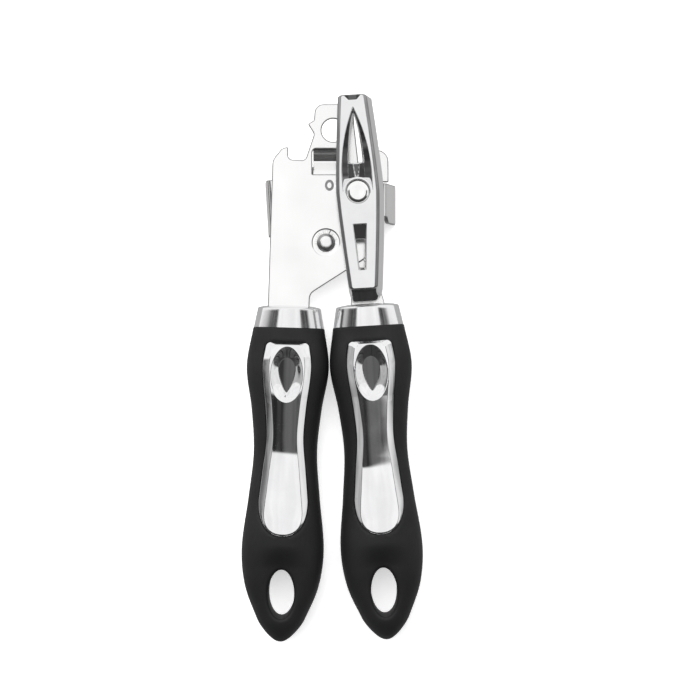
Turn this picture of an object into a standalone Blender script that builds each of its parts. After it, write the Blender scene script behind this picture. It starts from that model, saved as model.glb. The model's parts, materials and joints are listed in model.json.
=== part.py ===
"""A manual can opener with a butterfly key, built as an assembly of separate pieces.

The opener lies on its back on a table: +X is to the right, +Y runs from the handles to the head and
+Z points up through the key. The origin is on the table, under the middle of the opener's outline.
Plan positions are measured from the pivot rivet, heights from the table. Every length below is in
millimetres, and MM turns it to metres where it meets Blender.
"""

import math

import bmesh
import bpy
from mathutils import Matrix

MM = 0.001

# Driving dimensions: plan positions
PIVOT = (-2.4, 48.6)
KEY_AXIS = (12.0, 17.8)
CUTTER_AXIS = (-3.9, 19.3)
KEY_TILT = 3.4

# Driving dimensions: heights
MID_PLANE = 10.6
SHEET = 1.6
FRONT_PLATE_Z = 11.0
REAR_PLATE_Z = 8.6
FRONT_PLATE_TOP = FRONT_PLATE_Z + SHEET
REAR_PLATE_TOP = REAR_PLATE_Z + SHEET

# Handles: the middle of each grip's upper end, and how far its tail swings to the right, in degrees
HANDLES = {
    "left": {"top": (-14.1, -32.3), "lean": -1.6, "tang_z": FRONT_PLATE_Z, "tang": (-8.2, 7.5)},
    "right": {"top": (16.1, -31.6), "lean": 3.4, "tang_z": REAR_PLATE_Z, "tang": (-6.6, 6.6)},
}
GRIP_LENGTH = 119.3
GRIP_POWER = 2.35
GRIP_WIDTHS = ((0, 27.0), (15, 31.2), (31, 26.6), (47, 24.1), (64, 27.0), (84, 31.2), (98, 28.0),
               (110, 18.4), (116, 10.4), (GRIP_LENGTH, 2.4))
GRIP_HEIGHTS = ((0, 17.6), (15, 21.9), (31, 20.0), (47, 18.2), (64, 19.6), (84, 21.9), (98, 19.6),
                (110, 14.5), (116, 10.6), (GRIP_LENGTH, 5.0))
GRIP_STATIONS = 24
GRIP_SIDES = 24
COLLAR_LENGTH = 8.6
CORE_WIDTH = 17.0
CORE_HEIGHT = 10.6
CORE_POWER = 5.0
CORE_START = -6.0
CORE_END = 84.0
TANG_HALF_WIDTH = 6.0
TANG_END = 44.0
TANG_SHOULDER = -0.8
PIN_PLACES = {"upper": 14.0, "lower": 34.0}
PIN_RADIUS = 2.0
PIN_Z = (5.8, 15.4)
HANG_HOLE = {"place": 100.5, "half_width": 4.95, "half_length": 9.25}
GAP = 0.3

# Front plate: the window's left, right, lower and upper edges, and the trough pressed through it
WINDOW = (-5.2, 7.5, 25.9, 35.6)
TROUGH_TOP = 8.5
TROUGH_VALLEY = 31.2
PULL_TAB_HOLE = (2.7, 42.6, 4.4)
SHAFT_HOLE_RADIUS = 4.7
RECESS_RADIUS = 5.3
RECESS_DEPTH = 0.3
STAMP_OVAL = (1.3, 21.7, 1.6, 2.0)
STAMP_DEPTH = 0.5
# Each bent flange: the middle of its foot, how far it turns from the Y axis, and half its length
STOP_FLANGE = {"foot": (0.0, 14.95), "turn": 0.0, "half_length": 7.55}
REAR_FLANGE = {"foot": (-21.5, 13.4), "turn": 3.5, "half_length": 10.6}

# Inlay: half-widths along the grip, then a round end
INLAY_HALF_WIDTHS = ((5.7, 7.9), (15, 9.1), (31, 7.5), (42, 6.9), (54, 8.1), (65, 9.2))
INLAY_CORNER = 1.4
INLAY_ROUND_START = 65.0
INLAY_END = 78.2
INLAY_FLOOR = 17.1
INLAY_PROUD = 0.4
DIMPLE_PLACE = 17.4
# Half-width, length and height of the thumb dimple's rim and floor
DIMPLE_RIM = (5.9, 20.6, 22.6)
DIMPLE_FLOOR = (3.0, 13.4, 20.3)

# Turn key
KEY_BOTTOM = 21.2
KEY_TOP = 30.8
KEY_TOP_HALF_LENGTH = 36.0
KEY_BASE_HALF_LENGTHS = (36.2, 40.3)
KEY_HUB_HALF_WIDTH = 8.0
KEY_TIP_HALF_WIDTH = 5.3
KEY_LEFT_DRAFT = 0.1
KEY_RIGHT_DRAFT = 1.9
KEY_EDGE_RADIUS = 1.0
KEY_TIP_CHAMFER = 1.0
SCOOP_START = 6.2
SCOOP_END = 31.0
SCOOP_HALF_WIDTH = 5.5
SCOOP_DEPTHS = (3.4, 0.7)
UPPER_SLOT = {"start": 10.9, "end": 30.3, "half_width": 2.7}
LOWER_SLOT = {"start": 16.8, "end": 29.0, "half_widths": (2.05, 1.2)}
RAMP_START = 12.1
RAMP_HALF_WIDTH = 2.3
RAMP_DEPTH = 2.6
# Each end of the hollow behind a wing: its place along the wing, half-width and ceiling
HOLLOW_ENDS = ((8.0, 6.4, 23.2), (34.5, 4.0, 27.6))
KEY_COUNTERBORE = 4.55
KEY_COUNTERBORE_FLOOR = 27.2

# Pivot, shaft and wheels
RIVET_RADIUS = 2.5
RUNNING_FIT = 0.06
SHAFT_RADIUS = 3.2
SHAFT_SEAT_RADIUS = 2.6
FEED_WHEEL_RADIUS = 8.0
FEED_WHEEL_TEETH = 26
FEED_TOOTH_DEPTH = 0.7
FEED_WHEEL_Z = (6.6, 9.4)
CUTTER_RADIUS = 10.0
CUTTER_BEVEL = 1.9
CUTTER_Z = (4.4, 6.2)
STUD_RADIUS = 2.5

# Heights that a through cut runs between, clear below and above every grip
THROUGH_CUT = (-2.0, 26.0)

# Fineness: sides of a round piece and of a small hole, degrees to a step of a rounded corner
ROUND_STEPS = 28
SMALL_STEPS = 20
ARC_STEP = 18

# Colour, roughness and metallic of each finish
FINISHES = {
    "plated_steel": ((0.80, 0.80, 0.79), 0.22, 1.0),
    "chrome": ((0.87, 0.87, 0.88), 0.06, 1.0),
    "tool_steel": ((0.56, 0.57, 0.58), 0.30, 1.0),
    "black_rubber": ((0.018, 0.018, 0.020), 0.62, 0.0),
    "hard_plastic": ((0.03, 0.03, 0.03), 0.45, 0.0),
}


def clear_scene():
    """Remove whatever the scene already holds."""
    for item in list(bpy.data.objects):
        bpy.data.objects.remove(item)


def make_collection(name):
    """A new collection in the scene."""
    group = bpy.data.collections.new(name)
    bpy.context.scene.collection.children.link(group)
    return group


def make_finish(name):
    """A Principled material for one finish."""
    colour, roughness, metallic = FINISHES[name]
    finish = bpy.data.materials.new(name)
    finish.use_nodes = True
    shader = finish.node_tree.nodes["Principled BSDF"]
    shader.inputs["Base Color"].default_value = (*colour, 1.0)
    shader.inputs["Roughness"].default_value = roughness
    shader.inputs["Metallic"].default_value = metallic
    finish.diffuse_color = (*colour, 1.0)
    return finish


clear_scene()
PARTS = make_collection("manual_can_opener")
CUTTERS = make_collection("cutters")
MATERIALS = {name: make_finish(name) for name in FINISHES}


# Placing


def make_axis(name, place, parent=None, turn=0.0):
    """An empty on a joint's axis, or at a handle's upper end, that carries its pieces."""
    axis = bpy.data.objects.new(name, None)
    axis.location = (place[0] * MM, place[1] * MM, 0.0)
    axis.rotation_euler = (0.0, 0.0, math.radians(turn))
    axis.parent = parent
    PARTS.objects.link(axis)
    return axis


def add_piece(name, mesh, finish, parent, place=(0.0, 0.0)):
    """A named sub-part with its own finish, carried by its body's empty."""
    piece = bpy.data.objects.new(name, mesh)
    mesh.materials.append(MATERIALS[finish])
    piece.parent = parent
    piece.location = (place[0] * MM, place[1] * MM, 0.0)
    PARTS.objects.link(piece)
    return piece


def add_cutter(name, mesh, parent, place=(0.0, 0.0)):
    """A hidden tool solid, for a Boolean."""
    cutter = bpy.data.objects.new(name, mesh)
    cutter.parent = parent
    cutter.location = (place[0] * MM, place[1] * MM, 0.0)
    cutter.hide_render = True
    cutter.display_type = "WIRE"
    CUTTERS.objects.link(cutter)
    return cutter


def combine(piece, cutter, operation):
    """Cut, join or keep what the piece shares with the tool solid."""
    step = piece.modifiers.new(cutter.name, "BOOLEAN")
    step.operation = operation
    step.object = cutter


def along_handle(side, across, along):
    """A plan point given across and along a handle, measured from the pivot."""
    handle = HANDLES[side]
    lean = math.radians(handle["lean"])
    x = handle["top"][0] + across * math.cos(lean) + along * math.sin(lean)
    y = handle["top"][1] + across * math.sin(lean) - along * math.cos(lean)
    return (x, y)


# Outlines


def smooth_value(table, place):
    """The value at a place on the smooth curve through a table of (place, value) pairs."""
    last = len(table) - 1
    slopes = []
    for i in range(last + 1):
        low = table[max(i - 1, 0)]
        high = table[min(i + 1, last)]
        slopes.append((high[1] - low[1]) / (high[0] - low[0]))
    i = 0
    while i < last - 1 and place > table[i + 1][0]:
        i += 1
    span = table[i + 1][0] - table[i][0]
    t = (place - table[i][0]) / span
    start = (1 + 2 * t) * (1 - t) ** 2 * table[i][1] + t * (1 - t) ** 2 * span * slopes[i]
    end = t * t * (3 - 2 * t) * table[i + 1][1] - t * t * (1 - t) * span * slopes[i + 1]
    return start + end


def rounded(corners):
    """A closed outline from (x, y, radius) corners, each rounded with an arc."""
    outline = []
    count = len(corners)
    for i in range(count):
        x, y, radius = corners[i]
        if radius == 0:
            outline.append((x, y))
            continue
        before = corners[i - 1]
        after = corners[(i + 1) % count]
        angle_in = math.atan2(before[1] - y, before[0] - x)
        angle_out = math.atan2(after[1] - y, after[0] - x)
        opening = (angle_out - angle_in) % (2 * math.pi)
        turn = math.pi - opening
        reach = radius / math.sin(min(opening, 2 * math.pi - opening) / 2)
        middle = angle_in + opening / 2 + (math.pi if opening > math.pi else 0.0)
        centre = (x + reach * math.cos(middle), y + reach * math.sin(middle))
        start = middle + math.pi + turn / 2
        steps = max(2, math.ceil(abs(turn) / math.radians(ARC_STEP)))
        for k in range(steps + 1):
            angle = start - turn * k / steps
            outline.append((centre[0] + radius * math.cos(angle), centre[1] + radius * math.sin(angle)))
    return outline


def circle(x, y, radius, count=ROUND_STEPS):
    """A round outline."""
    angles = [2 * math.pi * k / count for k in range(count)]
    return [(x + radius * math.cos(a), y + radius * math.sin(a)) for a in angles]


def ellipse(x, y, half_width, half_length, count=ROUND_STEPS):
    """An oval outline."""
    return [(x + half_width * u, y + half_length * v) for u, v in circle(0.0, 0.0, 1.0, count)]


def gothic(start, end, half_width, steps=8, blunt=0.3):
    """A pointed arch that stands on y = start and has its blunt point at y = end."""
    rise = end - start
    radius = (rise * rise + half_width * half_width) / (2 * half_width)
    right = []
    for k in range(steps):
        y = rise * k / steps
        right.append((math.sqrt(radius * radius - y * y) - radius + half_width, start + y))
    right.append((blunt, end))
    return right + [(-x, y) for x, y in reversed(right)]


def inlay_outline(grow):
    """The inlay's plan outline along the handle, grown all round; y runs down the handle."""
    right = []
    for k in range(11):
        place = INLAY_HALF_WIDTHS[0][0] + (INLAY_ROUND_START - INLAY_HALF_WIDTHS[0][0]) * k / 10
        right.append((smooth_value(INLAY_HALF_WIDTHS, place) + grow, -place))
    right[0] = (right[0][0], right[0][1] + grow)
    corner = (right[0][0] - INLAY_CORNER, right[0][1])
    right[0] = (right[0][0], right[0][1] - INLAY_CORNER)
    round_length = INLAY_END - INLAY_ROUND_START + grow
    half_width = INLAY_HALF_WIDTHS[-1][1] + grow
    for k in range(1, 8):
        angle = math.pi / 2 * k / 8
        y = -INLAY_ROUND_START - round_length * math.sin(angle)
        right.append((half_width * math.cos(angle), y))
    tip = (0.0, -INLAY_ROUND_START - round_length)
    right = [corner] + right
    left = [(-x, y) for x, y in reversed(right)]
    return right + [tip] + left


def grip_section(place, grow):
    """The grip's rounded section at a place along it, as (across, height) points."""
    half_width = smooth_value(GRIP_WIDTHS, place) / 2 + grow
    half_height = smooth_value(GRIP_HEIGHTS, place) / 2 + grow
    return [(x, max(z + MID_PLANE, 0.0)) for x, z in oval(half_width, half_height, GRIP_POWER, GRIP_SIDES)]


def oval(half_width, half_height, power, count):
    """A rounded oblong; a higher power is squarer."""
    points = []
    for k in range(count):
        angle = 2 * math.pi * (k + 0.5) / count
        c = math.cos(angle)
        s = math.sin(angle)
        x = half_width * math.copysign(abs(c) ** (2 / power), c)
        z = half_height * math.copysign(abs(s) ** (2 / power), s)
        points.append((x, z))
    return points


# Solids


def finish_mesh(solid, name, smooth):
    """Turn a bmesh into a mesh with its faces pointing out."""
    bmesh.ops.recalc_face_normals(solid, faces=solid.faces)
    mesh = bpy.data.meshes.new(name)
    solid.to_mesh(mesh)
    solid.free()
    if smooth:
        mesh.shade_smooth()
        mesh.set_sharp_from_angle(angle=math.radians(35))
    return mesh


def flat_mesh(name, outlines, low, high, stand=None):
    """A sheet with the first outline as its edge and the others as its holes.

    stand is a matrix that stands the sheet up or moves it.
    """
    curve = bpy.data.curves.new(name, "CURVE")
    curve.dimensions = "2D"
    curve.fill_mode = "BOTH"
    curve.extrude = (high - low) / 2 * MM
    for outline in outlines:
        spline = curve.splines.new("POLY")
        spline.points.add(len(outline) - 1)
        for point, (x, y) in zip(spline.points, outline):
            point.co = (x * MM, y * MM, 0.0, 1.0)
        spline.use_cyclic_u = True
    sheet = bpy.data.objects.new(name + "_outline", curve)
    CUTTERS.objects.link(sheet)
    bpy.context.view_layer.update()
    graph = bpy.context.evaluated_depsgraph_get()
    raw = bpy.data.meshes.new_from_object(sheet.evaluated_get(graph))
    solid = bmesh.new()
    solid.from_mesh(raw)
    bpy.data.meshes.remove(raw)
    bpy.data.objects.remove(sheet)
    bmesh.ops.remove_doubles(solid, verts=solid.verts, dist=0.000002)
    bmesh.ops.translate(solid, verts=solid.verts, vec=(0.0, 0.0, (low + high) / 2 * MM))
    if stand is not None:
        bmesh.ops.transform(solid, matrix=stand, verts=solid.verts)
    return finish_mesh(solid, name, False)


def loft_mesh(name, rings, smooth=True):
    """A closed skin over rings of (x, y, z) points, with flat ends."""
    solid = bmesh.new()
    rows = []
    for ring in rings:
        rows.append([solid.verts.new((x * MM, y * MM, z * MM)) for x, y, z in ring])
    count = len(rows[0])
    for lower, upper in zip(rows, rows[1:]):
        for k in range(count):
            after = (k + 1) % count
            solid.faces.new((lower[k], lower[after], upper[after], upper[k]))
    solid.faces.new(rows[0])
    solid.faces.new(list(reversed(rows[-1])))
    return finish_mesh(solid, name, smooth)


def rod_mesh(name, radius, low, high, count=ROUND_STEPS):
    """A plain round bar on the Z axis."""
    solid = bmesh.new()
    middle = Matrix.Translation((0.0, 0.0, (low + high) / 2 * MM))
    bmesh.ops.create_cone(solid, cap_ends=True, segments=count, radius1=radius * MM,
                          radius2=radius * MM, depth=(high - low) * MM, matrix=middle)
    return finish_mesh(solid, name, True)


def box_mesh(name, low, high):
    """A plain block between two corners."""
    solid = bmesh.new()
    bmesh.ops.create_cube(solid, size=1.0)
    size = [(b - a) * MM for a, b in zip(low, high)]
    middle = [(a + b) / 2 * MM for a, b in zip(low, high)]
    bmesh.ops.scale(solid, verts=solid.verts, vec=size)
    bmesh.ops.translate(solid, verts=solid.verts, vec=middle)
    return finish_mesh(solid, name, False)


def turned_piece(name, profile, finish, parent, place=(0.0, 0.0), bored=True):
    """A piece turned from (radius, height) points that run down its outer side from the top."""
    mesh = bpy.data.meshes.new(name)
    solid = bmesh.new()
    points = [solid.verts.new((radius * MM, 0.0, height * MM)) for radius, height in profile]
    for start, end in zip(points, points[1:]):
        solid.edges.new((start, end))
    if bored:
        solid.edges.new((points[-1], points[0]))
    solid.to_mesh(mesh)
    solid.free()
    piece = add_piece(name, mesh, finish, parent, place)
    turn = piece.modifiers.new("turn", "SCREW")
    turn.axis = "Z"
    turn.steps = ROUND_STEPS
    turn.render_steps = ROUND_STEPS
    turn.use_merge_vertices = True
    turn.merge_threshold = 0.000002
    turn.use_smooth_shade = True
    return piece


def ring_profile(inner, outer, low, high):
    """The profile of a plain washer or sleeve."""
    return ((inner, high), (outer, high), (outer, low), (inner, low))


# Plates


def front_plate_outline():
    """Outer edge of the front plate, clockwise from the tang's lower left corner."""
    left, right = HANDLES["left"]["tang"]
    return rounded((
        (*along_handle("left", -TANG_HALF_WIDTH, TANG_END), 2.0),
        (*along_handle("left", -TANG_HALF_WIDTH, TANG_SHOULDER), 0.5),
        (*along_handle("left", left, TANG_SHOULDER), 0.5),
        # left edge and the crown-cap hook
        (-20.3, 31.4, 4.5),
        (-16.7, 35.8, 2.5),
        (-14.3, 36.4, 0.35),
        (-14.3, 31.6, 1.6),
        (-7.9, 31.2, 1.8),
        (-4.5, 41.2, 2.0),
        (-6.9, 45.0, 0.3),
        (-4.6, 46.4, 0.8),
        # top of the head
        (-4.1, 52.5, 3.4),
        (10.3, 52.6, 2.6),
        (10.8, 43.5, 6.0),
        (12.4, 29.0, 1.5),
        (15.7, 29.0, 1.5),
        (17.2, 35.2, 1.8),
        (23.7, 34.9, 4.4),
        (23.7, 22.9, 0.5),
        # right edge, where the stop flange is bent down, and the lower diagonal
        (22.0, 22.9, 0.0),
        (22.0, -1.4, 1.2),
        (-6.1, -19.4, 3.5),
        (*along_handle("left", right, TANG_SHOULDER), 0.5),
        (*along_handle("left", TANG_HALF_WIDTH, TANG_SHOULDER), 0.5),
        (*along_handle("left", TANG_HALF_WIDTH, TANG_END), 2.0),
    ))


def rear_plate_outline():
    """Outer edge of the rear plate, clockwise from the tang's lower left corner."""
    left, right = HANDLES["right"]["tang"]
    return rounded((
        (*along_handle("right", -TANG_HALF_WIDTH, TANG_END), 2.0),
        (*along_handle("right", -TANG_HALF_WIDTH, TANG_SHOULDER), 0.5),
        (*along_handle("right", left, TANG_SHOULDER), 0.5),
        (9.4, -8.6, 3.0),
        (-9.0, -9.5, 4.0),
        (-20.6, 2.2, 1.0),
        (-22.0, 24.9, 1.0),
        (-5.8, 24.9, 3.0),
        (3.4, 22.4, 2.0),
        # clear of the feed wheel as the lever swings
        (3.4, 12.3, 1.5),
        (10.4, 7.8, 4.0),
        (12.8, 0.0, 6.0),
        (13.0, -4.5, 3.0),
        (19.2, -12.4, 4.0),
        (*along_handle("right", right, -8.8), 3.0),
        (*along_handle("right", right, TANG_SHOULDER), 0.5),
        (*along_handle("right", TANG_HALF_WIDTH, TANG_SHOULDER), 0.5),
        (*along_handle("right", TANG_HALF_WIDTH, TANG_END), 2.0),
    ))


def pin_holes(side):
    """The holes for the tang's pins."""
    places = [along_handle(side, 0.0, place) for place in PIN_PLACES.values()]
    return [circle(x, y, PIN_RADIUS + GAP, SMALL_STEPS) for x, y in places]


def facing_y(x, y, turn):
    """Stands a flat profile up, so that its thickness runs along Y (before the turn about Z)."""
    upright = Matrix.Rotation(math.radians(90), 4, "X")
    swing = Matrix.Rotation(math.radians(turn), 4, "Z")
    return Matrix.Translation((x * MM, y * MM, 0.0)) @ swing @ upright


def facing_x(x):
    """Stands a flat profile up, with its own x along Y and its thickness along X."""
    upright = Matrix.Rotation(math.radians(90), 4, "X")
    quarter = Matrix.Rotation(math.radians(90), 4, "Z")
    return Matrix.Translation((x * MM, 0.0, 0.0)) @ quarter @ upright


def flange_solid(name, profile, flange):
    """A bent flange: its profile across the bend, run along the bend."""
    reach = flange["half_length"]
    return flat_mesh(name, [profile], -reach, reach, facing_y(*flange["foot"], flange["turn"]))


def build_front_plate(lever):
    """The left lever's plate, with its rim trough, stop flange, stamped recess and dimple."""
    left, right, low, high = WINDOW
    window = rounded(((left, low, 0.3), (left, high, 1.5), (right, high, 0.5), (right, low, 0.3)))
    outlines = [
        front_plate_outline(),
        circle(*PULL_TAB_HOLE),
        window,
        circle(*KEY_AXIS, SHAFT_HOLE_RADIUS),
        circle(0.0, 0.0, RIVET_RADIUS + GAP),
    ]
    outlines += pin_holes("left")
    mesh = flat_mesh("front_plate", outlines, FRONT_PLATE_Z, FRONT_PLATE_TOP)
    plate = add_piece("front_plate", mesh, "plated_steel", lever)
    # the stop flange runs down to the table and flares outward
    flange = rounded(((20.5, FRONT_PLATE_TOP, 0), (22.9, FRONT_PLATE_TOP, 1.6), (26.9, 0.0, 0),
                      (25.2, 0.0, 0), (21.7, FRONT_PLATE_Z, 0.4), (20.5, FRONT_PLATE_Z, 0)))
    flange_mesh = flange_solid("stop_flange", flange, STOP_FLANGE)
    combine(plate, add_cutter("stop_flange", flange_mesh, lever), "UNION")
    # the trough is pressed back through the window and guides a can's rim
    trough = rounded((
        (low - 0.7, FRONT_PLATE_TOP, 0),
        (low, FRONT_PLATE_TOP, 1.2),
        (TROUGH_VALLEY, TROUGH_TOP, 1.0),
        (high, FRONT_PLATE_TOP, 1.2),
        (high + 0.7, FRONT_PLATE_TOP, 0),
        (high + 0.7, FRONT_PLATE_Z, 0),
        (high - 0.4, FRONT_PLATE_Z, 0.5),
        (TROUGH_VALLEY, TROUGH_TOP - 1.5, 1.6),
        (low + 0.4, FRONT_PLATE_Z, 0.5),
        (low - 0.7, FRONT_PLATE_Z, 0),
    ))
    half_length = (right - left) / 2 - GAP
    trough_mesh = flat_mesh("rim_trough", [trough], -half_length, half_length, facing_x((left + right) / 2))
    combine(plate, add_cutter("rim_trough", trough_mesh, lever), "UNION")
    recess = rod_mesh("pivot_recess", RECESS_RADIUS, FRONT_PLATE_TOP - RECESS_DEPTH, FRONT_PLATE_TOP + 1.0)
    combine(plate, add_cutter("pivot_recess", recess, lever), "DIFFERENCE")
    dimple = flat_mesh("stamped_dimple", [ellipse(*STAMP_OVAL, SMALL_STEPS)],
                       FRONT_PLATE_TOP - STAMP_DEPTH, FRONT_PLATE_TOP + 1.0)
    combine(plate, add_cutter("stamped_dimple", dimple, lever), "DIFFERENCE")


def build_rear_plate(lever):
    """The right lever's plate, behind the front one, with its left flange."""
    outlines = [
        rear_plate_outline(),
        circle(0.0, 0.0, RIVET_RADIUS + RUNNING_FIT),
        circle(*CUTTER_AXIS, STUD_RADIUS + GAP),
    ]
    outlines += pin_holes("right")
    mesh = flat_mesh("rear_plate", outlines, REAR_PLATE_Z, REAR_PLATE_TOP)
    plate = add_piece("rear_plate", mesh, "plated_steel", lever)
    flange = rounded(((1.6, REAR_PLATE_TOP, 0), (1.6, REAR_PLATE_Z, 0), (0.9, REAR_PLATE_Z, 0.4),
                      (0.1, 0.0, 0), (-1.5, 0.0, 0), (-0.7, REAR_PLATE_TOP, 1.5)))
    flange_mesh = flange_solid("rear_flange", flange, REAR_FLANGE)
    combine(plate, add_cutter("rear_flange", flange_mesh, lever), "UNION")


# Handles


def grip_rings(grow, start, end):
    """The grip's sections between two places along it."""
    rings = []
    for k in range(GRIP_STATIONS + 1):
        # the stations close up toward the tail
        share = 1 - (1 - k / GRIP_STATIONS) ** 1.35
        place = start + (end - start) * share
        rings.append([(x, -place, z) for x, z in grip_section(place, grow)])
    return rings


def core_rings(grow, start, end):
    """The core's squarish section, drawn along the handle."""
    section = oval(CORE_WIDTH / 2 + grow, CORE_HEIGHT / 2 + grow, CORE_POWER, SMALL_STEPS)
    return [[(x, -place, z + MID_PLANE) for x, z in section] for place in (start, end)]


def collar_rings():
    """The chrome collar: a tapered oval that ends in a crowned top."""
    sizes = ((-0.15, 26.7, 17.3), (-7.2, 24.0, 16.9), (-8.0, 22.9, 15.8), (-COLLAR_LENGTH, 19.5, 12.6))
    rings = []
    for place, width, height in sizes:
        section = oval(width / 2, height / 2, GRIP_POWER, GRIP_SIDES)
        rings.append([(x, -place, z + MID_PLANE) for x, z in section])
    return rings


def teardrop(half_width, length, steps=20):
    """A teardrop outline about its own middle: round at the top, pointed at the bottom."""
    points = []
    for k in range(steps):
        angle = 2 * math.pi * k / steps
        taper = 1 - 0.55 * (1 - math.sin(angle)) / 2
        x = half_width * math.cos(angle) * taper / 0.8
        points.append((x, length / 2 * math.sin(angle)))
    return points


def build_grip(side, frame):
    """The soft grip: a sleeve over the core, with the inlay's pocket and the hanging hole."""
    grip = add_piece(side + "_grip", loft_mesh(side + "_grip", grip_rings(0.0, 0.15, GRIP_LENGTH)),
                     "black_rubber", frame)
    cavity = loft_mesh(side + "_cavity", core_rings(GAP, -2.0, CORE_END + GAP))
    combine(grip, add_cutter(side + "_cavity", cavity, frame), "DIFFERENCE")
    pocket = flat_mesh(side + "_pocket", [inlay_outline(GAP)], INLAY_FLOOR - GAP, THROUGH_CUT[1])
    combine(grip, add_cutter(side + "_pocket", pocket, frame), "DIFFERENCE")
    edge = ellipse(0.0, -HANG_HOLE["place"], HANG_HOLE["half_width"], HANG_HOLE["half_length"])
    hole = flat_mesh(side + "_hole", [edge], *THROUGH_CUT)
    combine(grip, add_cutter(side + "_hole", hole, frame), "DIFFERENCE")


def build_core(side, frame):
    """The hard core: slotted for the tang and cross-drilled for its pins."""
    core = add_piece(side + "_core", loft_mesh(side + "_core", core_rings(0.0, CORE_START, CORE_END)),
                     "hard_plastic", frame)
    tang_z = HANDLES[side]["tang_z"]
    left, right = HANDLES[side]["tang"]
    slot = box_mesh(side + "_tang_slot", (-TANG_HALF_WIDTH - GAP, -TANG_END - GAP, tang_z - GAP),
                    (TANG_HALF_WIDTH + GAP, 10.0, tang_z + SHEET + GAP))
    combine(core, add_cutter(side + "_tang_slot", slot, frame), "DIFFERENCE")
    mouth = box_mesh(side + "_tang_mouth", (left - GAP, -TANG_SHOULDER - GAP, tang_z - GAP),
                     (right + GAP, 10.0, tang_z + SHEET + GAP))
    combine(core, add_cutter(side + "_tang_mouth", mouth, frame), "DIFFERENCE")
    for name, place in PIN_PLACES.items():
        bore = rod_mesh(side + "_bore_" + name, PIN_RADIUS + GAP, *THROUGH_CUT, SMALL_STEPS)
        combine(core, add_cutter(side + "_bore_" + name, bore, frame, (0.0, -place)), "DIFFERENCE")


def build_collar(side, frame):
    """The chrome collar, with a slot for the tang and a socket for the core's neck."""
    collar = add_piece(side + "_ferrule", loft_mesh(side + "_ferrule", collar_rings()), "chrome", frame)
    socket = loft_mesh(side + "_socket", core_rings(GAP, CORE_START - GAP, 2.0))
    combine(collar, add_cutter(side + "_socket", socket, frame), "DIFFERENCE")
    tang_z = HANDLES[side]["tang_z"]
    left, right = HANDLES[side]["tang"]
    slot = box_mesh(side + "_collar_slot", (left - GAP, 0.5, tang_z - GAP),
                    (right + GAP, 12.0, tang_z + SHEET + GAP))
    combine(collar, add_cutter(side + "_collar_slot", slot, frame), "DIFFERENCE")


def build_inlay(side, frame):
    """The chrome inlay, which follows the grip's surface and has a teardrop thumb dimple."""
    blank = flat_mesh(side + "_inlay", [inlay_outline(0.0)], INLAY_FLOOR, THROUGH_CUT[1])
    inlay = add_piece(side + "_inlay", blank, "chrome", frame)
    skin = loft_mesh(side + "_inlay_skin", grip_rings(INLAY_PROUD, 1.0, 90.0))
    combine(inlay, add_cutter(side + "_inlay_skin", skin, frame), "INTERSECT")
    rings = []
    for half_width, length, height in (DIMPLE_FLOOR, DIMPLE_RIM):
        rings.append([(x, y - DIMPLE_PLACE, height) for x, y in teardrop(half_width, length)])
    dimple = loft_mesh(side + "_dimple", rings, smooth=False)
    combine(inlay, add_cutter(side + "_dimple", dimple, frame), "DIFFERENCE")


def build_pins(side, frame):
    """The two pins that hold the tang in the core."""
    for name, place in PIN_PLACES.items():
        mesh = rod_mesh(side + "_tang_rivet_" + name, PIN_RADIUS, *PIN_Z, SMALL_STEPS)
        add_piece(side + "_tang_rivet_" + name, mesh, "tool_steel", frame, (0.0, -place))


def build_handle(side, lever):
    """All the pieces of one handle, in a frame at the grip's upper end."""
    handle = HANDLES[side]
    frame = make_axis(side + "_handle", handle["top"], lever, handle["lean"])
    build_grip(side, frame)
    build_core(side, frame)
    build_collar(side, frame)
    build_inlay(side, frame)
    build_pins(side, frame)


# Pivot


def build_pivot(lever):
    """The domed rivet that joins the levers, and its two washers."""
    seat = FRONT_PLATE_TOP - 0.25
    profile = (
        (0.0, seat + 1.75), (1.2, seat + 1.65), (2.3, seat + 1.3), (3.1, seat + 0.75), (3.45, seat),
        (RIVET_RADIUS, seat), (RIVET_RADIUS, 7.5), (4.2, 7.5), (4.0, 6.7), (0.0, 6.4),
    )
    turned_piece("pivot_rivet", profile, "plated_steel", lever, bored=False)
    turned_piece("pivot_washer", ring_profile(2.8, 6.0, 10.35, 10.85), "plated_steel", lever)
    turned_piece("rivet_backing_washer", ring_profile(2.8, 5.6, 7.65, 8.4), "plated_steel", lever)


# Key and feed wheel


def key_side(half_length):
    """Half of the key's gently waisted edge, from the hub to a tip with a small chamfer."""
    side = []
    for k in range(8):
        share = k / 8
        width = KEY_HUB_HALF_WIDTH - (KEY_HUB_HALF_WIDTH - KEY_TIP_HALF_WIDTH) * share ** 1.25
        side.append((width, half_length * share))
    side.append((KEY_TIP_HALF_WIDTH, half_length - KEY_TIP_CHAMFER))
    side.append((KEY_TIP_HALF_WIDTH - KEY_TIP_CHAMFER, half_length))
    return side


def key_outline(half_lengths, left, right, z):
    """The key's outline at one height, with its sides moved out to the left and right."""
    upper = key_side(half_lengths[0])
    lower = key_side(half_lengths[1])
    ring = [(x + right, y, z) for x, y in upper]
    ring += [(-x - left, y, z) for x, y in reversed(upper)]
    ring += [(-x - left, -y, z) for x, y in lower[1:]]
    ring += [(x + right, -y, z) for x, y in reversed(lower[1:])]
    return ring


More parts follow.
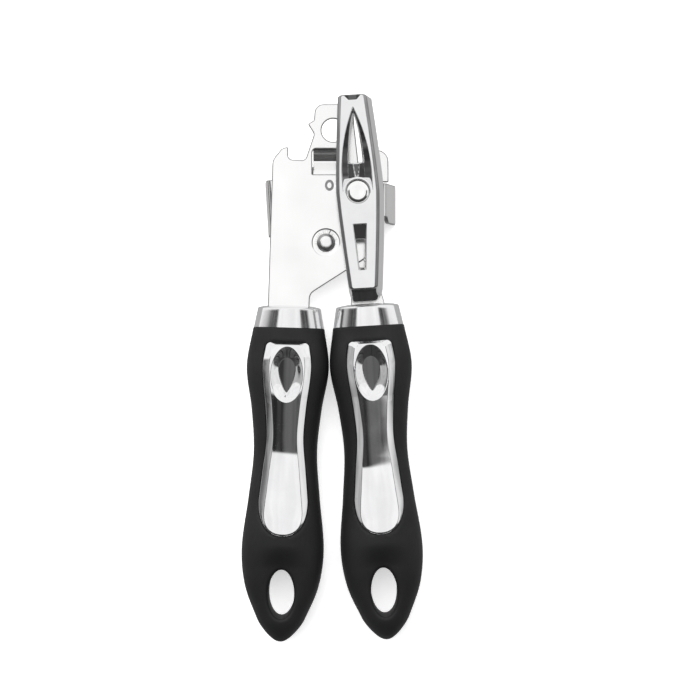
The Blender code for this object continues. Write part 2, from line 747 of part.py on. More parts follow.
def build_key(spin):
    """The butterfly key: drafted sides, a scooped upper wing, a slot in each wing, hollow behind."""
    rings = [key_outline(KEY_BASE_HALF_LENGTHS, KEY_LEFT_DRAFT, KEY_RIGHT_DRAFT, KEY_BOTTOM)]
    for k in range(4):
        angle = math.radians(30 * k)
        inset = KEY_EDGE_RADIUS * (1 - math.cos(angle))
        drop = KEY_EDGE_RADIUS * (1 - math.sin(angle))
        half_length = KEY_TOP_HALF_LENGTH - inset
        rings.append(key_outline((half_length, half_length), -inset, -inset, KEY_TOP - drop))
    key = add_piece("turn_key", loft_mesh("turn_key", rings), "chrome", spin)
    for cutter in upper_wing_cutters() + lower_wing_cutters():
        combine(key, add_cutter(cutter.name, cutter, spin), "DIFFERENCE")
    bore = rod_mesh("key_bore", SHAFT_RADIUS + GAP, KEY_BOTTOM - 2.0, KEY_TOP + 2.0)
    combine(key, add_cutter("key_bore", bore, spin), "DIFFERENCE")
    counterbore = rod_mesh("key_counterbore", KEY_COUNTERBORE, KEY_COUNTERBORE_FLOOR, KEY_TOP + 2.0)
    combine(key, add_cutter("key_counterbore", counterbore, spin), "DIFFERENCE")


def wing_hollow(name, way):
    """The hollow behind a wing; way is 1 for the upper wing and -1 for the lower one."""
    rings = []
    below = KEY_BOTTOM - 1.2
    for place, half_width, ceiling in HOLLOW_ENDS:
        rings.append([(x * way, place * way, z) for x, z in (
            (-half_width, below), (half_width, below), (half_width, ceiling), (-half_width, ceiling))])
    return loft_mesh(name, rings, smooth=False)


def upper_wing_cutters():
    """What is taken out of the upper wing: the scoop in its face, the slot and the hollow behind."""
    deep, shallow = SCOOP_DEPTHS
    rim = gothic(SCOOP_START, SCOOP_END, SCOOP_HALF_WIDTH)
    slope = (deep - shallow) / (SCOOP_END - SCOOP_START)
    scoop = loft_mesh("upper_scoop", [
        [(x * 0.7, y, KEY_TOP - deep + slope * (y - SCOOP_START)) for x, y in rim],
        [(x, y, KEY_TOP + 0.5) for x, y in rim],
    ])
    slot_edge = gothic(UPPER_SLOT["start"], UPPER_SLOT["end"], UPPER_SLOT["half_width"])
    slot = flat_mesh("upper_slot", [slot_edge], KEY_BOTTOM - 2.0, KEY_TOP + 2.0)
    return [scoop, slot, wing_hollow("upper_hollow", 1)]


def lower_wing_cutters():
    """What is taken out of the lower wing: a tapered slot with a ramp down into it, and the hollow."""
    start, end = LOWER_SLOT["start"], LOWER_SLOT["end"]
    wide, narrow = LOWER_SLOT["half_widths"]
    edge = [(-wide, -start), (wide, -start), (narrow, -end), (-narrow, -end)]
    slot = flat_mesh("lower_slot", [edge], KEY_BOTTOM - 2.0, KEY_TOP + 2.0)
    ramp = [(-RAMP_START, KEY_TOP), (-RAMP_START, KEY_TOP + 1.0), (-start - 0.3, KEY_TOP + 1.0),
            (-start - 0.3, KEY_TOP - RAMP_DEPTH)]
    ramp_mesh = flat_mesh("lower_ramp", [ramp], -RAMP_HALF_WIDTH, RAMP_HALF_WIDTH, facing_x(0.0))
    return [slot, ramp_mesh, wing_hollow("lower_hollow", -1)]


def feed_wheel_outline():
    """The feed wheel's rim, with blunt teeth."""
    root = FEED_WHEEL_RADIUS - FEED_TOOTH_DEPTH
    tooth = ((-0.34, root), (-0.14, FEED_WHEEL_RADIUS), (0.14, FEED_WHEEL_RADIUS), (0.34, root))
    rim = []
    pitch = 2 * math.pi / FEED_WHEEL_TEETH
    for k in range(FEED_WHEEL_TEETH):
        for share, radius in tooth:
            angle = (k + share) * pitch
            rim.append((radius * math.cos(angle), radius * math.sin(angle)))
    return rim


def build_drive(lever, spin):
    """The shaft through the front plate, its sleeve and washers, and the feed wheel below."""
    shaft = (
        (0.0, 29.5), (1.4, 29.4), (2.7, 29.1), (3.6, 28.5), (3.6, 27.5),
        (SHAFT_RADIUS, 27.5), (SHAFT_RADIUS, 9.65), (SHAFT_SEAT_RADIUS, 9.65),
        (SHAFT_SEAT_RADIUS, 6.3), (3.7, 6.3), (3.4, 5.4), (0.0, 5.1),
    )
    turned_piece("key_shaft", shaft, "plated_steel", spin, bored=False)
    sleeve = (
        (SHAFT_RADIUS + RUNNING_FIT, 18.6), (5.2, 18.6), (5.2, FRONT_PLATE_TOP + GAP),
        (4.4, FRONT_PLATE_TOP + GAP), (4.4, 11.1), (SHAFT_RADIUS + RUNNING_FIT, 11.1),
    )
    turned_piece("key_bushing", sleeve, "tool_steel", lever, KEY_AXIS)
    spring = ((3.5, 20.6), (3.7, 20.6), (5.4, 19.2), (5.4, 18.9), (5.2, 18.9), (3.5, 20.2))
    turned_piece("key_spring_washer", spring, "tool_steel", spin)
    turned_piece("feed_wheel_washer", ring_profile(3.5, 5.4, 9.9, 10.7), "tool_steel", spin)
    wheel = flat_mesh("feed_wheel", [feed_wheel_outline(), circle(0.0, 0.0, SHAFT_SEAT_RADIUS + 0.2, 24)],
                      *FEED_WHEEL_Z)
    add_piece("feed_wheel", wheel, "tool_steel", spin)


# Cutter


def build_cutter(lever, spin):
    """The cutting disc on its stud, with a spacer above it and a wave washer below."""
    low, high = CUTTER_Z
    bevel_end = CUTTER_RADIUS - CUTTER_BEVEL
    disc = ((STUD_RADIUS + RUNNING_FIT, high), (CUTTER_RADIUS, high), (bevel_end, low + 0.5),
            (bevel_end, low), (STUD_RADIUS + RUNNING_FIT, low))
    turned_piece("cutter_wheel", disc, "tool_steel", spin)
    stud = ((0.0, REAR_PLATE_TOP), (STUD_RADIUS, REAR_PLATE_TOP), (STUD_RADIUS, 3.2), (4.6, 3.2),
            (4.3, 2.2), (0.0, 1.9))
    turned_piece("cutter_stud", stud, "plated_steel", lever, CUTTER_AXIS, bored=False)
    turned_piece("cutter_spacer", ring_profile(2.8, 4.6, high + 0.25, REAR_PLATE_Z - 0.25),
                 "plated_steel", lever, CUTTER_AXIS)
    wave = ((2.8, 4.0), (3.4, 4.1), (4.4, 3.8), (4.4, 3.5), (3.4, 3.8), (2.8, 3.7))
    turned_piece("cutter_wave_washer", wave, "tool_steel", lever, CUTTER_AXIS)


# Assembly: the left lever stays put, and the right lever, key and cutting disc turn


def build():
    """The whole opener, body by body."""
    left_lever = make_axis("left_lever", PIVOT)
    right_lever = make_axis("right_lever", PIVOT)
    key_spin = make_axis("key_spin", KEY_AXIS, left_lever, KEY_TILT)
    cutter_spin = make_axis("cutter_spin", CUTTER_AXIS, right_lever)
    build_front_plate(left_lever)
    build_rear_plate(right_lever)
    build_handle("left", left_lever)
    build_handle("right", right_lever)
    build_pivot(left_lever)
    build_key(key_spin)
    build_drive(left_lever, key_spin)
    build_cutter(right_lever, cutter_spin)


build()
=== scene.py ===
"""The looks of the manual can opener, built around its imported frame.

Plan positions are measured from the pivot, or across and down a handle from its grip's upper end, and
heights from the table. Lengths are in millimetres, and MM turns them to metres where they meet Blender.
"""

import json
import math

import bmesh
import bpy
import numpy as np
from mathutils import Matrix, Vector


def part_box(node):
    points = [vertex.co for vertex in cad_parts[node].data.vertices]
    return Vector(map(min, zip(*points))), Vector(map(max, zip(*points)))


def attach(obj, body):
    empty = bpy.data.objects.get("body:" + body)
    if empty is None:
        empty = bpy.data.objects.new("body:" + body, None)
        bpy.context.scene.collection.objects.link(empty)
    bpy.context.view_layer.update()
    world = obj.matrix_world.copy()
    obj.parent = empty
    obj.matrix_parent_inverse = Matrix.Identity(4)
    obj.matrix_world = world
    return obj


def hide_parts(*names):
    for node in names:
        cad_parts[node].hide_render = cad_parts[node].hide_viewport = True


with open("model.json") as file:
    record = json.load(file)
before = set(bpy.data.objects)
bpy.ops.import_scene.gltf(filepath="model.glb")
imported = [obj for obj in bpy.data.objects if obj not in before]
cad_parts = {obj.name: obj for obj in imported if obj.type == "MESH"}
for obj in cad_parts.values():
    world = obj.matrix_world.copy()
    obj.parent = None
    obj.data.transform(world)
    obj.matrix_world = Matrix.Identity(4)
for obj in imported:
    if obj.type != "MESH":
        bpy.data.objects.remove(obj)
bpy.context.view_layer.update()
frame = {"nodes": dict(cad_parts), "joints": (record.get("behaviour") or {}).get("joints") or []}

MM = 0.001

# Places, from the frame


def joint_place(name):
    """A joint's plan position in millimetres."""
    joint = next(j for j in frame["joints"] if j["name"] == name)
    return joint["pos_m"][0] / MM, joint["pos_m"][1] / MM


def node_middle(node):
    """The middle of a node's box in millimetres."""
    return [(a / MM + b / MM) / 2 for a, b in zip(*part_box(node))]


def node_heights(node):
    """The heights of a node's bottom and top in millimetres."""
    low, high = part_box(node)
    return low[2] / MM, high[2] / MM


PIVOT = joint_place("handle_pivot")
KEY_AXIS = joint_place("key_spin")
CUTTER_AXIS = joint_place("cutter_spin")
SHEET = 1.6
WASHER_GAP = 0.15
PLATE_GAP = 0.8
FRONT_LOW = node_heights("pivot_washer")[1] + WASHER_GAP
FRONT_TOP = FRONT_LOW + SHEET
REAR_TOP = FRONT_LOW - PLATE_GAP
REAR_LOW = REAR_TOP - SHEET
KEY_LOW, KEY_TOP = node_heights("turn_key")
MID_PLANE = node_middle("left_tang_rivet_upper")[2]

# Shapes shared with the frame
PIN_PLACES = (14.0, 34.0)
GRIP_LENGTH = 119.2
GRIP_POWER = 2.35
GRIP_WIDTHS = ((0, 27.0), (15, 31.2), (31, 26.6), (47, 24.1), (64, 27.0), (84, 31.2), (98, 28.0),
               (110, 18.6), (115, 13.4), (GRIP_LENGTH, 9.6))
GRIP_HEIGHTS = ((0, 17.6), (15, 21.8), (31, 20.0), (47, 18.2), (64, 19.6), (84, 21.8), (98, 19.6),
                (110, 14.6), (115, 12.4), (GRIP_LENGTH, 10.6))
TIP_START = 111.0
TIP_ROUNDNESS = 2.4
HOLE_PLACE = 100.5
HOLE_HALF_WIDTH = 4.95
HOLE_HALF_LENGTH = 9.25
HOLE_RIM = 1.3
DISH_UPPER_SLOPE = (81.5, 91.0)
DISH_LOWER_SLOPE = (96.0, 112.0)
DISH_DEPTH = 3.3
DISH_SPREAD = 6.4
POCKET_DEPTH = 3.2
POCKET_WALL = (-0.45, 1.3)
INLAY_START = 5.7
INLAY_HALF_WIDTHS = ((INLAY_START, 7.9), (15, 9.1), (31, 7.5), (42, 6.9), (54, 8.1), (65, 9.2))
INLAY_ROUND_START = 65.0
INLAY_END = 78.2
INLAY_CORNER = 1.4
INLAY_CRESTS = {
    "left": ((INLAY_START, 10.6), (12, 11.1), (20, 11.05), (27, 10.8), (37, 10.15), (47.5, 9.55),
             (57, 9.65), (67, 10.2), (78.2, 10.8)),
    "right": ((INLAY_START, 11.4), (12, 11.15), (18, 10.88), (27, 10.42), (39, 9.85), (49, 9.45),
              (56, 9.3), (64, 9.55), (71, 10.0), (78.2, 10.5)),
}
INLAY_CROWN = 0.45
INLAY_BORDER = 2.4
INLAY_BORDER_SLOPE = 0.56
INLAY_BORDER_FADE = (64.0, 76.0)
INLAY_FADED_SHARE = 0.75
INLAY_UPPER_SLOPE = 2.4
INLAY_ROUNDNESS = 2.3
DIMPLE_PLACE = 17.5
DIMPLE_HALF_WIDTH = 6.1
DIMPLE_HALF_LENGTH = 10.4
DIMPLE_EYE = -2.0
DIMPLE_FLOOR_START = 6.2
DIMPLE_FLOOR_HALF_WIDTH = 3.2
DIMPLE_FLOOR_TAIL = (9.1, 1.4)  # its reach from the eye, and the power of its curve
DIMPLE_FLOOR_HEAD = (4.2, 2.0)
DIMPLE_DEPTH = 1.4
DIMPLE_FALL = 0.1
KEY_TILT = 3.4

# How finely round shapes are drawn
TURN_STEPS = 96
BEND_STEPS = 12
INLAY_STEPS = 54
COLLAR_STEPS = 120


# Outlines and curves


def smooth_value(table, place):
    """The value at a place on the smooth curve through a table of (place, value) pairs."""
    last = len(table) - 1
    slopes = []
    for i in range(last + 1):
        low = table[max(i - 1, 0)]
        high = table[min(i + 1, last)]
        slopes.append((high[1] - low[1]) / (high[0] - low[0]))
    i = 0
    while i < last - 1 and place > table[i + 1][0]:
        i += 1
    span = table[i + 1][0] - table[i][0]
    t = (place - table[i][0]) / span
    start = (1 + 2 * t) * (1 - t) ** 2 * table[i][1] + t * (1 - t) ** 2 * span * slopes[i]
    end = t * t * (3 - 2 * t) * table[i + 1][1] - t * t * (1 - t) * span * slopes[i + 1]
    return start + end


def step(value, low, high):
    """A smooth step from 0 at low to 1 at high."""
    t = np.clip((value - low) / (high - low), 0.0, 1.0)
    return t * t * (3 - 2 * t)


def chord(radius, away):
    """Half the width of a circle at a distance from its middle, or 0 outside it."""
    return math.sqrt(max(0.0, radius * radius - away * away))


def polar(x, y, radius, angle):
    """The point at a distance and an angle from another."""
    return (x + radius * math.cos(angle), y + radius * math.sin(angle))


def rounded(corners, fine=12):
    """A closed outline from (x, y, radius) corners, each rounded with an arc of a few degrees a step."""
    outline = []
    count = len(corners)
    for i in range(count):
        x, y, radius = corners[i]
        if radius == 0:
            outline.append((x, y))
            continue
        before = corners[i - 1]
        after = corners[(i + 1) % count]
        angle_in = math.atan2(before[1] - y, before[0] - x)
        angle_out = math.atan2(after[1] - y, after[0] - x)
        opening = (angle_out - angle_in) % (2 * math.pi)
        turn = math.pi - opening
        reach = radius / math.sin(min(opening, 2 * math.pi - opening) / 2)
        middle = angle_in + opening / 2 + (math.pi if opening > math.pi else 0.0)
        centre = polar(x, y, reach, middle)
        start = middle + math.pi + turn / 2
        steps = max(2, math.ceil(abs(turn) / math.radians(fine)))
        for k in range(steps + 1):
            outline.append(polar(*centre, radius, start - turn * k / steps))
    return outline


def circle(x, y, radius, count=64):
    """A round outline."""
    return [polar(x, y, radius, 2 * math.pi * k / count) for k in range(count)]


def ellipse(x, y, half_width, half_length):
    """An oval outline."""
    return [(x + half_width * u, y + half_length * v) for u, v in circle(0.0, 0.0, 1.0, 48)]


# Meshes


def tidy_mesh(name, solid, smooth_angle):
    """A bmesh as a mesh with its faces pointing out, smooth up to an angle."""
    bmesh.ops.recalc_face_normals(solid, faces=solid.faces)
    mesh = bpy.data.meshes.new(name)
    solid.to_mesh(mesh)
    solid.free()
    mesh.shade_smooth()
    mesh.set_sharp_from_angle(angle=math.radians(smooth_angle))
    return mesh


def mesh_from(name, points, faces, smooth_angle=40):
    """A mesh from points in millimetres and faces, less the corners and faces that fall together."""
    clean = [list(dict.fromkeys(face)) for face in faces]
    mesh = bpy.data.meshes.new(name)
    mesh.from_pydata([tuple(c * MM for c in p) for p in points], [], [f for f in clean if len(f) > 2])
    solid = bmesh.new()
    solid.from_mesh(mesh)
    bpy.data.meshes.remove(mesh)
    return tidy_mesh(name, solid, smooth_angle)


def strip(row, after, closed=False):
    """The four-sided faces between two rows of corners, or between two rings."""
    if closed:
        row = [*row, row[0]]
        after = [*after, after[0]]
    return [(row[k], row[k + 1], after[k + 1], after[k]) for k in range(len(row) - 1)]


def mirrored_row(points, along, section, middle, is_open):
    """Add a row of (across, height) points and its mirror image.

    They share the places whose numbers are in middle, unless a hole parts them.
    """
    right = []
    left = []
    for k, (across, height) in enumerate(section):
        right.append(len(points))
        points.append((across, along, height))
        if k in middle and not is_open:
            left.append(right[-1])
            continue
        left.append(len(points))
        points.append((-across, along, height))
    return right, left, is_open


def row_pairs(rows):
    """Each half of each row with the next one, and whether a hole parts the halves at either."""
    for (right, left, is_open), (right_next, left_next, next_open) in zip(rows, rows[1:]):
        yield right, right_next, is_open or next_open
        yield left, left_next, is_open or next_open


def new_object(name, data):
    """An object in the scene."""
    made = bpy.data.objects.new(name, data)
    bpy.context.scene.collection.objects.link(made)
    return made


def add_finishes(mesh, finishes):
    """Give a mesh its finishes, in the order of its faces' numbers."""
    for finish in finishes:
        mesh.materials.append(finish)


def add_piece(name, mesh, finishes, body, nodes=()):
    """Show a piece that rides on a body and stands for CAD nodes."""
    piece = new_object(name, mesh)
    add_finishes(mesh, finishes)
    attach(piece, body)
    if nodes:
        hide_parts(*nodes)


def turned_mesh(name, centre, profile, bored=True):
    """A turned body about a vertical axis, from (radius, height) points down its outer side."""
    points = []
    rows = []
    for radius, height in profile:
        if radius < 1e-6:
            rows.append([len(points)] * TURN_STEPS)
            points.append((*centre, height))
            continue
        rows.append(range(len(points), len(points) + TURN_STEPS))
        points += [(x, y, height) for x, y in circle(*centre, radius, TURN_STEPS)]
    if bored:
        rows.append(rows[0])
    faces = []
    for upper, lower in zip(rows, rows[1:]):
        faces += strip(upper, lower, closed=True)
    return mesh_from(name, points, faces, 35)


def soft_profile(corners):
    """A bored piece's turned profile, from (radius, height, rounding) corners."""
    return rounded(corners, 18)


def flat_solid(name, outlines, low, high):
    """A bmesh sheet between two heights, with the first outline as its edge and the others as holes."""
    curve = bpy.data.curves.new(name, "CURVE")
    curve.dimensions = "2D"
    curve.fill_mode = "BOTH"
    curve.extrude = (high - low) / 2 * MM
    for outline in outlines:
        spline = curve.splines.new("POLY")
        spline.points.add(len(outline) - 1)
        for point, (x, y) in zip(spline.points, outline):
            point.co = (x * MM, y * MM, 0.0, 1.0)
        spline.use_cyclic_u = True
    sheet = new_object(name + "_outline", curve)
    bpy.context.view_layer.update()
    raw = bpy.data.meshes.new_from_object(sheet.evaluated_get(bpy.context.evaluated_depsgraph_get()))
    solid = bmesh.new()
    solid.from_mesh(raw)
    bpy.data.meshes.remove(raw)
    bpy.data.objects.remove(sheet)
    bpy.data.curves.remove(curve)
    bmesh.ops.remove_doubles(solid, verts=solid.verts, dist=0.000002)
    bmesh.ops.translate(solid, verts=solid.verts, vec=(0.0, 0.0, (low + high) / 2 * MM))
    bmesh.ops.recalc_face_normals(solid, faces=solid.faces)
    bmesh.ops.dissolve_limit(solid, angle_limit=math.radians(0.5), verts=solid.verts, edges=solid.edges)
    return solid


def round_edges(solid, width, segments=2):
    """Round the sharp edges of a flat bmesh sheet, and mark them and its walls for the second finish, whose
    darker grey is partly a dull sheared edge and partly painted shade.
    """
    sharp = [e for e in solid.edges if len(e.link_faces) == 2 and e.calc_face_angle() > math.radians(50)]
    bmesh.ops.bevel(solid, geom=sharp, offset=width * MM, segments=segments, profile=0.5,
                    affect="EDGES", clamp_overlap=False)
    for face in solid.faces:
        face.normal_update()
        face.material_index = 0 if abs(face.normal.z) > 0.99 else 1


def sheet_mesh(solid, cutters=()):
    """A sheet's mesh, less some closed meshes; flat faces stay flat in shading and rounded edges soft."""
    mesh = tidy_mesh("sheet", solid, 35)
    add_finishes(mesh, (STEEL, SHEARED_AND_SHADED))
    body = new_object("carved", mesh)
    tools = []
    for cutter in cutters:
        add_finishes(cutter, (STEEL, SHEARED_AND_SHADED))
        tool = new_object("tool", cutter)
        cut = body.modifiers.new("cut", "BOOLEAN")
        cut.operation = "DIFFERENCE"
        cut.object = tool
        tools.append(tool)
    shading = body.modifiers.new("shading", "WEIGHTED_NORMAL")
    shading.keep_sharp = True
    bpy.context.view_layer.update()
    graph = bpy.context.evaluated_depsgraph_get()
    done = bpy.data.meshes.new_from_object(body.evaluated_get(graph), preserve_all_data_layers=True,
                                           depsgraph=graph)
    for item in tools + [body]:
        bpy.data.objects.remove(item)
    return done


def bend(solid, start, outward, angle, low, chosen):
    """Bend a sheet down along a line through start, which turns what lies outward of it by the angle.

    chosen says of a vertex's place whether it may bend.
    """
    direction = Vector((outward[0], outward[1], 0.0)).normalized()
    line = Vector((start[0], start[1], 0.0)) * MM
    neutral = (BEND_RADIUS + SHEET / 2) * MM
    centre_z = (low - BEND_RADIUS) * MM
    turn = math.radians(angle)
    for k in range(-1, BEND_STEPS + 1):
        place = line + direction * (neutral * turn * k / BEND_STEPS)
        geometry = list(solid.verts) + list(solid.edges) + list(solid.faces)
        bmesh.ops.bisect_plane(solid, geom=geometry, dist=1e-7, plane_co=place, plane_no=direction)
    for vert in solid.verts:
        out = (Vector((vert.co.x, vert.co.y, 0.0)) - line).dot(direction)
        if out <= 0.0 or not chosen(vert.co):
            continue
        radius = vert.co.z - centre_z
        swept = min(out / neutral, turn)
        rest = out - swept * neutral
        reach = radius * math.sin(swept) + rest * math.cos(turn)
        vert.co += direction * (reach - out)
        vert.co.z = centre_z + radius * math.cos(swept) - rest * math.sin(turn)


# Materials


class NodeMaths:
    """Small sums and noises on a node tree."""

    def __init__(self, tree, place=None):
        self.nodes = tree.nodes
        self.links = tree.links
        self.place = place

    def put(self, socket, value):
        """Feed a socket from a number or from another node."""
        if isinstance(value, (int, float)):
            socket.default_value = value
        else:
            self.links.new(value, socket)

    def sum(self, operation, one, other=0.0):
        """One operation on two values."""
        node = self.nodes.new("ShaderNodeMath")
        node.operation = operation
        self.put(node.inputs[0], one)
        self.put(node.inputs[1], other)
        return node.outputs[0]

    def ramp(self, value, low, high, start=0.0, end=1.0, shape="SMOOTHSTEP"):
        """A value that goes from start to end as another goes from low to high."""
        node = self.nodes.new("ShaderNodeMapRange")
        node.interpolation_type = shape
        inputs = {"Value": value, "From Min": low, "From Max": high, "To Min": start, "To Max": end}
        for socket, given in inputs.items():
            self.put(node.inputs[socket], given)
        return node.outputs["Result"]

    def noise(self, scale, detail=3.0, stretch=(1.0, 1.0, 1.0)):
        """Noise over the place, in features a unit, stretched along an axis."""
        mapping = self.nodes.new("ShaderNodeMapping")
        mapping.inputs["Scale"].default_value = stretch
        texture = self.nodes.new("ShaderNodeTexNoise")
        texture.inputs["Scale"].default_value = scale
        texture.inputs["Detail"].default_value = detail
        self.links.new(self.place, mapping.inputs["Vector"])
        self.links.new(mapping.outputs["Vector"], texture.inputs["Vector"])
        return texture.outputs["Fac"]


class Finish(NodeMaths):
    """A Principled material and the few node chains that its detail needs."""

    def __init__(self, name, colour, roughness, metallic, **settings):
        self.material = bpy.data.materials.new(name)
        self.material.use_nodes = True
        self.material.diffuse_color = (*colour, 1.0)
        super().__init__(self.material.node_tree)
        self.place = self.nodes.new("ShaderNodeTexCoord").outputs["Object"]
        self.shader = self.nodes["Principled BSDF"]
        settings.update(Base_Color=(*colour, 1.0), Roughness=roughness, Metallic=metallic)
        for socket, value in settings.items():
            self.shader.inputs[socket.replace("_", " ")].default_value = value

    def spread(self, value, low, high):
        """The middle of a noise's range, moved to a new range."""
        return self.ramp(value, 0.3, 0.7, low, high, "LINEAR")

    def vary_roughness(self, value, low, high):
        """Roughness that follows a noise."""
        self.links.new(self.spread(value, low, high), self.shader.inputs["Roughness"])

    def vary_colour(self, value, one, other):
        """Colour that drifts between two tones with a noise."""
        mix = self.nodes.new("ShaderNodeMix")
        mix.data_type = "RGBA"
        mix.inputs["A"].default_value = (*one, 1.0)
        mix.inputs["B"].default_value = (*other, 1.0)
        self.links.new(self.spread(value, 0.0, 1.0), mix.inputs["Factor"])
        self.links.new(mix.outputs["Result"], self.shader.inputs["Base Color"])

    def bump(self, depth, value, other=0.0, share=1.0):
        """Fine relief, with its depth in millimetres, from one noise and a share of another."""
        relief = self.nodes.new("ShaderNodeBump")
        relief.inputs["Strength"].default_value = 1.0
        relief.inputs["Distance"].default_value = depth * MM
        self.links.new(self.sum("ADD", value, self.sum("MULTIPLY", other, share)), relief.inputs["Height"])
        self.links.new(relief.outputs["Normal"], self.shader.inputs["Normal"])


def plated_steel(name, smooth, dull):
    """Bright nickel plate over rolled steel: faint grain along it and soft handling marks."""
    finish = Finish(name, (0.96, 0.96, 0.955), smooth, 1.0)
    grain = finish.noise(900, 4.0, (1.0, 0.06, 1.0))
    cloud = finish.noise(60, 3.0)
    finish.vary_colour(cloud, (0.98, 0.98, 0.975), (0.94, 0.94, 0.935))
    finish.vary_roughness(cloud, smooth, dull)
    finish.bump(0.004, cloud, grain, 0.6)
    return finish.material


def sheared_and_shaded_edge():
    """A sheet's sheared and tumbled edge, duller and greyer than its faces: the grey is partly that dull
    edge and partly painted shade that draws dark outlines and walls.
    """
    finish = Finish("sheared_and_shaded_edge_look", (0.42, 0.42, 0.42), 0.42, 1.0)
    grain = finish.noise(2200, 3.0, (1.0, 1.0, 0.25))
    finish.vary_colour(grain, (0.46, 0.46, 0.46), (0.36, 0.36, 0.36))
    finish.vary_roughness(grain, 0.36, 0.5)
    finish.bump(0.008, grain)
    return finish.material


def chrome(name, smooth, dull):
    """Chrome with a slight waviness and a few dull smudges."""
    finish = Finish(name, (0.86, 0.86, 0.87), smooth, 1.0)
    wave = finish.noise(45, 1.0)
    smudge = finish.noise(130, 5.0)
    finish.vary_colour(smudge, (0.88, 0.88, 0.885), (0.83, 0.83, 0.84))
    finish.vary_roughness(smudge, smooth, dull)
    finish.bump(0.06, wave)
    return finish.material


def shaded_edge_chrome():
    """The key's rounded edges: duller chrome with a much darker colour, a painted shade that draws the
    key's dark outline.
    """
    finish = Finish("shaded_edge_chrome_look", (0.34, 0.34, 0.345), 0.3, 1.0)
    rub = finish.noise(420, 4.0, (1.0, 0.25, 1.0))
    finish.vary_colour(rub, (0.38, 0.38, 0.385), (0.29, 0.29, 0.295))
    finish.vary_roughness(rub, 0.26, 0.38)
    finish.bump(0.006, rub)
    return finish.material


def tool_steel():
    """Hardened steel with a turned satin grain."""
    finish = Finish("tool_steel_look", (0.55, 0.56, 0.57), 0.3, 1.0)
    grain = finish.noise(2500, 3.0, (1.0, 1.0, 0.2))
    cloud = finish.noise(150, 2.0)
    finish.vary_colour(cloud, (0.60, 0.61, 0.62), (0.46, 0.47, 0.48))
    finish.vary_roughness(grain, 0.24, 0.42)
    finish.bump(0.006, grain)
    return finish.material


def grip_rubber():
    """Soft-touch black rubber: a fine pebble, uneven sheen and a slightly worn tone."""
    finish = Finish("grip_rubber_look", (0.011, 0.011, 0.012), 0.55, 0.0, Specular_IOR_Level=0.3)
    pebble = finish.noise(3200, 2.0)
    grain = finish.noise(9000, 2.0)
    cloud = finish.noise(70, 3.0)
    finish.vary_colour(cloud, (0.0125, 0.0125, 0.013), (0.0095, 0.0095, 0.010))
    finish.vary_roughness(cloud, 0.52, 0.68)
    finish.bump(0.012, pebble, grain, 0.5)
    return finish.material


def core_plastic():
    """Moulded black plastic."""
    finish = Finish("core_plastic_look", (0.03, 0.03, 0.03), 0.45, 0.0)
    cloud = finish.noise(300, 3.0)
    finish.vary_colour(cloud, (0.035, 0.035, 0.035), (0.025, 0.025, 0.025))
    finish.vary_roughness(cloud, 0.38, 0.52)
    finish.bump(0.01, cloud)
    return finish.material


STEEL = plated_steel("plated_steel_look", 0.09, 0.17)
SATIN = plated_steel("satin_look", 0.2, 0.3)
SHEARED_AND_SHADED = sheared_and_shaded_edge()
CHROME = chrome("chrome_look", 0.02, 0.06)
COLLAR_CHROME = chrome("collar_chrome_look", 0.08, 0.13)
SHADED_EDGE_CHROME = shaded_edge_chrome()
TOOL = tool_steel()
RUBBER = grip_rubber()
PLASTIC = core_plastic()


# Handles


class Handle:
    """A handle's own directions, worked out from its two pins: across it, and down it to the tail."""

    def __init__(self, side):
        upper = Vector(node_middle(side + "_tang_rivet_upper")[:2])
        lower = Vector(node_middle(side + "_tang_rivet_lower")[:2])
        self.side = side
        self.body = side + "_lever"
        self.down = (lower - upper).normalized()
        self.across = Vector((-self.down.y, self.down.x))
        self.top = upper - self.down * PIN_PLACES[0]

    def place(self, across, down, height):
        """A point on the handle as frame coordinates."""
        spot = self.top + self.across * across + self.down * down
        return (spot.x, spot.y, height)

    def plan(self, across, down):
        """A plan point on the handle, measured from the pivot."""
        spot = self.place(across, down, 0.0)
        return (spot[0] - PIVOT[0], spot[1] - PIVOT[1])


def tip_cap(down):
    """How the tail closes: 1 along the grip, falling to 0 at its tip."""
    share = max(0.0, (down - TIP_START) / (GRIP_LENGTH - TIP_START))
    return math.sqrt(max(0.0, 1 - share ** TIP_ROUNDNESS))


def grip_half_width(down):
    """Half the grip's width."""
    return smooth_value(GRIP_WIDTHS, down) / 2 * tip_cap(down)


def grip_half_height(down):
    """Half the grip's thickness."""
    return smooth_value(GRIP_HEIGHTS, down) / 2 * tip_cap(down)


def surface_height(across, down, inset):
    """How far the grip's front stands above its middle plane, for a section that stands in by the inset."""
    half_width = max(grip_half_width(down) - inset, 1e-6)
    share = min(abs(across) / half_width, 1.0)
    return (grip_half_height(down) - inset) * (1 - share ** GRIP_POWER) ** (1 / GRIP_POWER)


def hole_edge(down):
    """Half the hanging hole's width at a place down the grip, or 0 outside it."""
    return HOLE_HALF_WIDTH * chord(1.0, (down - HOLE_PLACE) / HOLE_HALF_LENGTH)


def hole_distance(across, down):
    """Roughly how far a point lies outside the hanging hole's edge."""
    u = across / HOLE_HALF_WIDTH
    v = (down - HOLE_PLACE) / HOLE_HALF_LENGTH
    rho = math.hypot(u, v)
    slope = math.hypot(u / HOLE_HALF_WIDTH, v / HOLE_HALF_LENGTH)
    return (rho - 1) * rho / max(slope, 1e-6)


def rim_drop(distance, radius):
    """How far a rounded rim has fallen at a distance from its edge."""
    return radius - chord(radius, min(max(radius - distance, 0.0), radius))


def thumb_dish(across, down):
    """The dished run down to the hanging hole, on the front."""
    fall = step(down, *DISH_UPPER_SLOPE) * (1 - step(down, *DISH_LOWER_SLOPE))
    return DISH_DEPTH * fall * math.exp(-(across / DISH_SPREAD) ** 2)


def inlay_pocket(across, down):
    """The pocket that the inlay sits in, with a narrow groove round its edge."""
    inside = min(inlay_half_width(min(max(down, INLAY_START), INLAY_END)) - abs(across),
                 down - INLAY_START, INLAY_END - down)
    return POCKET_DEPTH * float(step(inside, *POCKET_WALL))


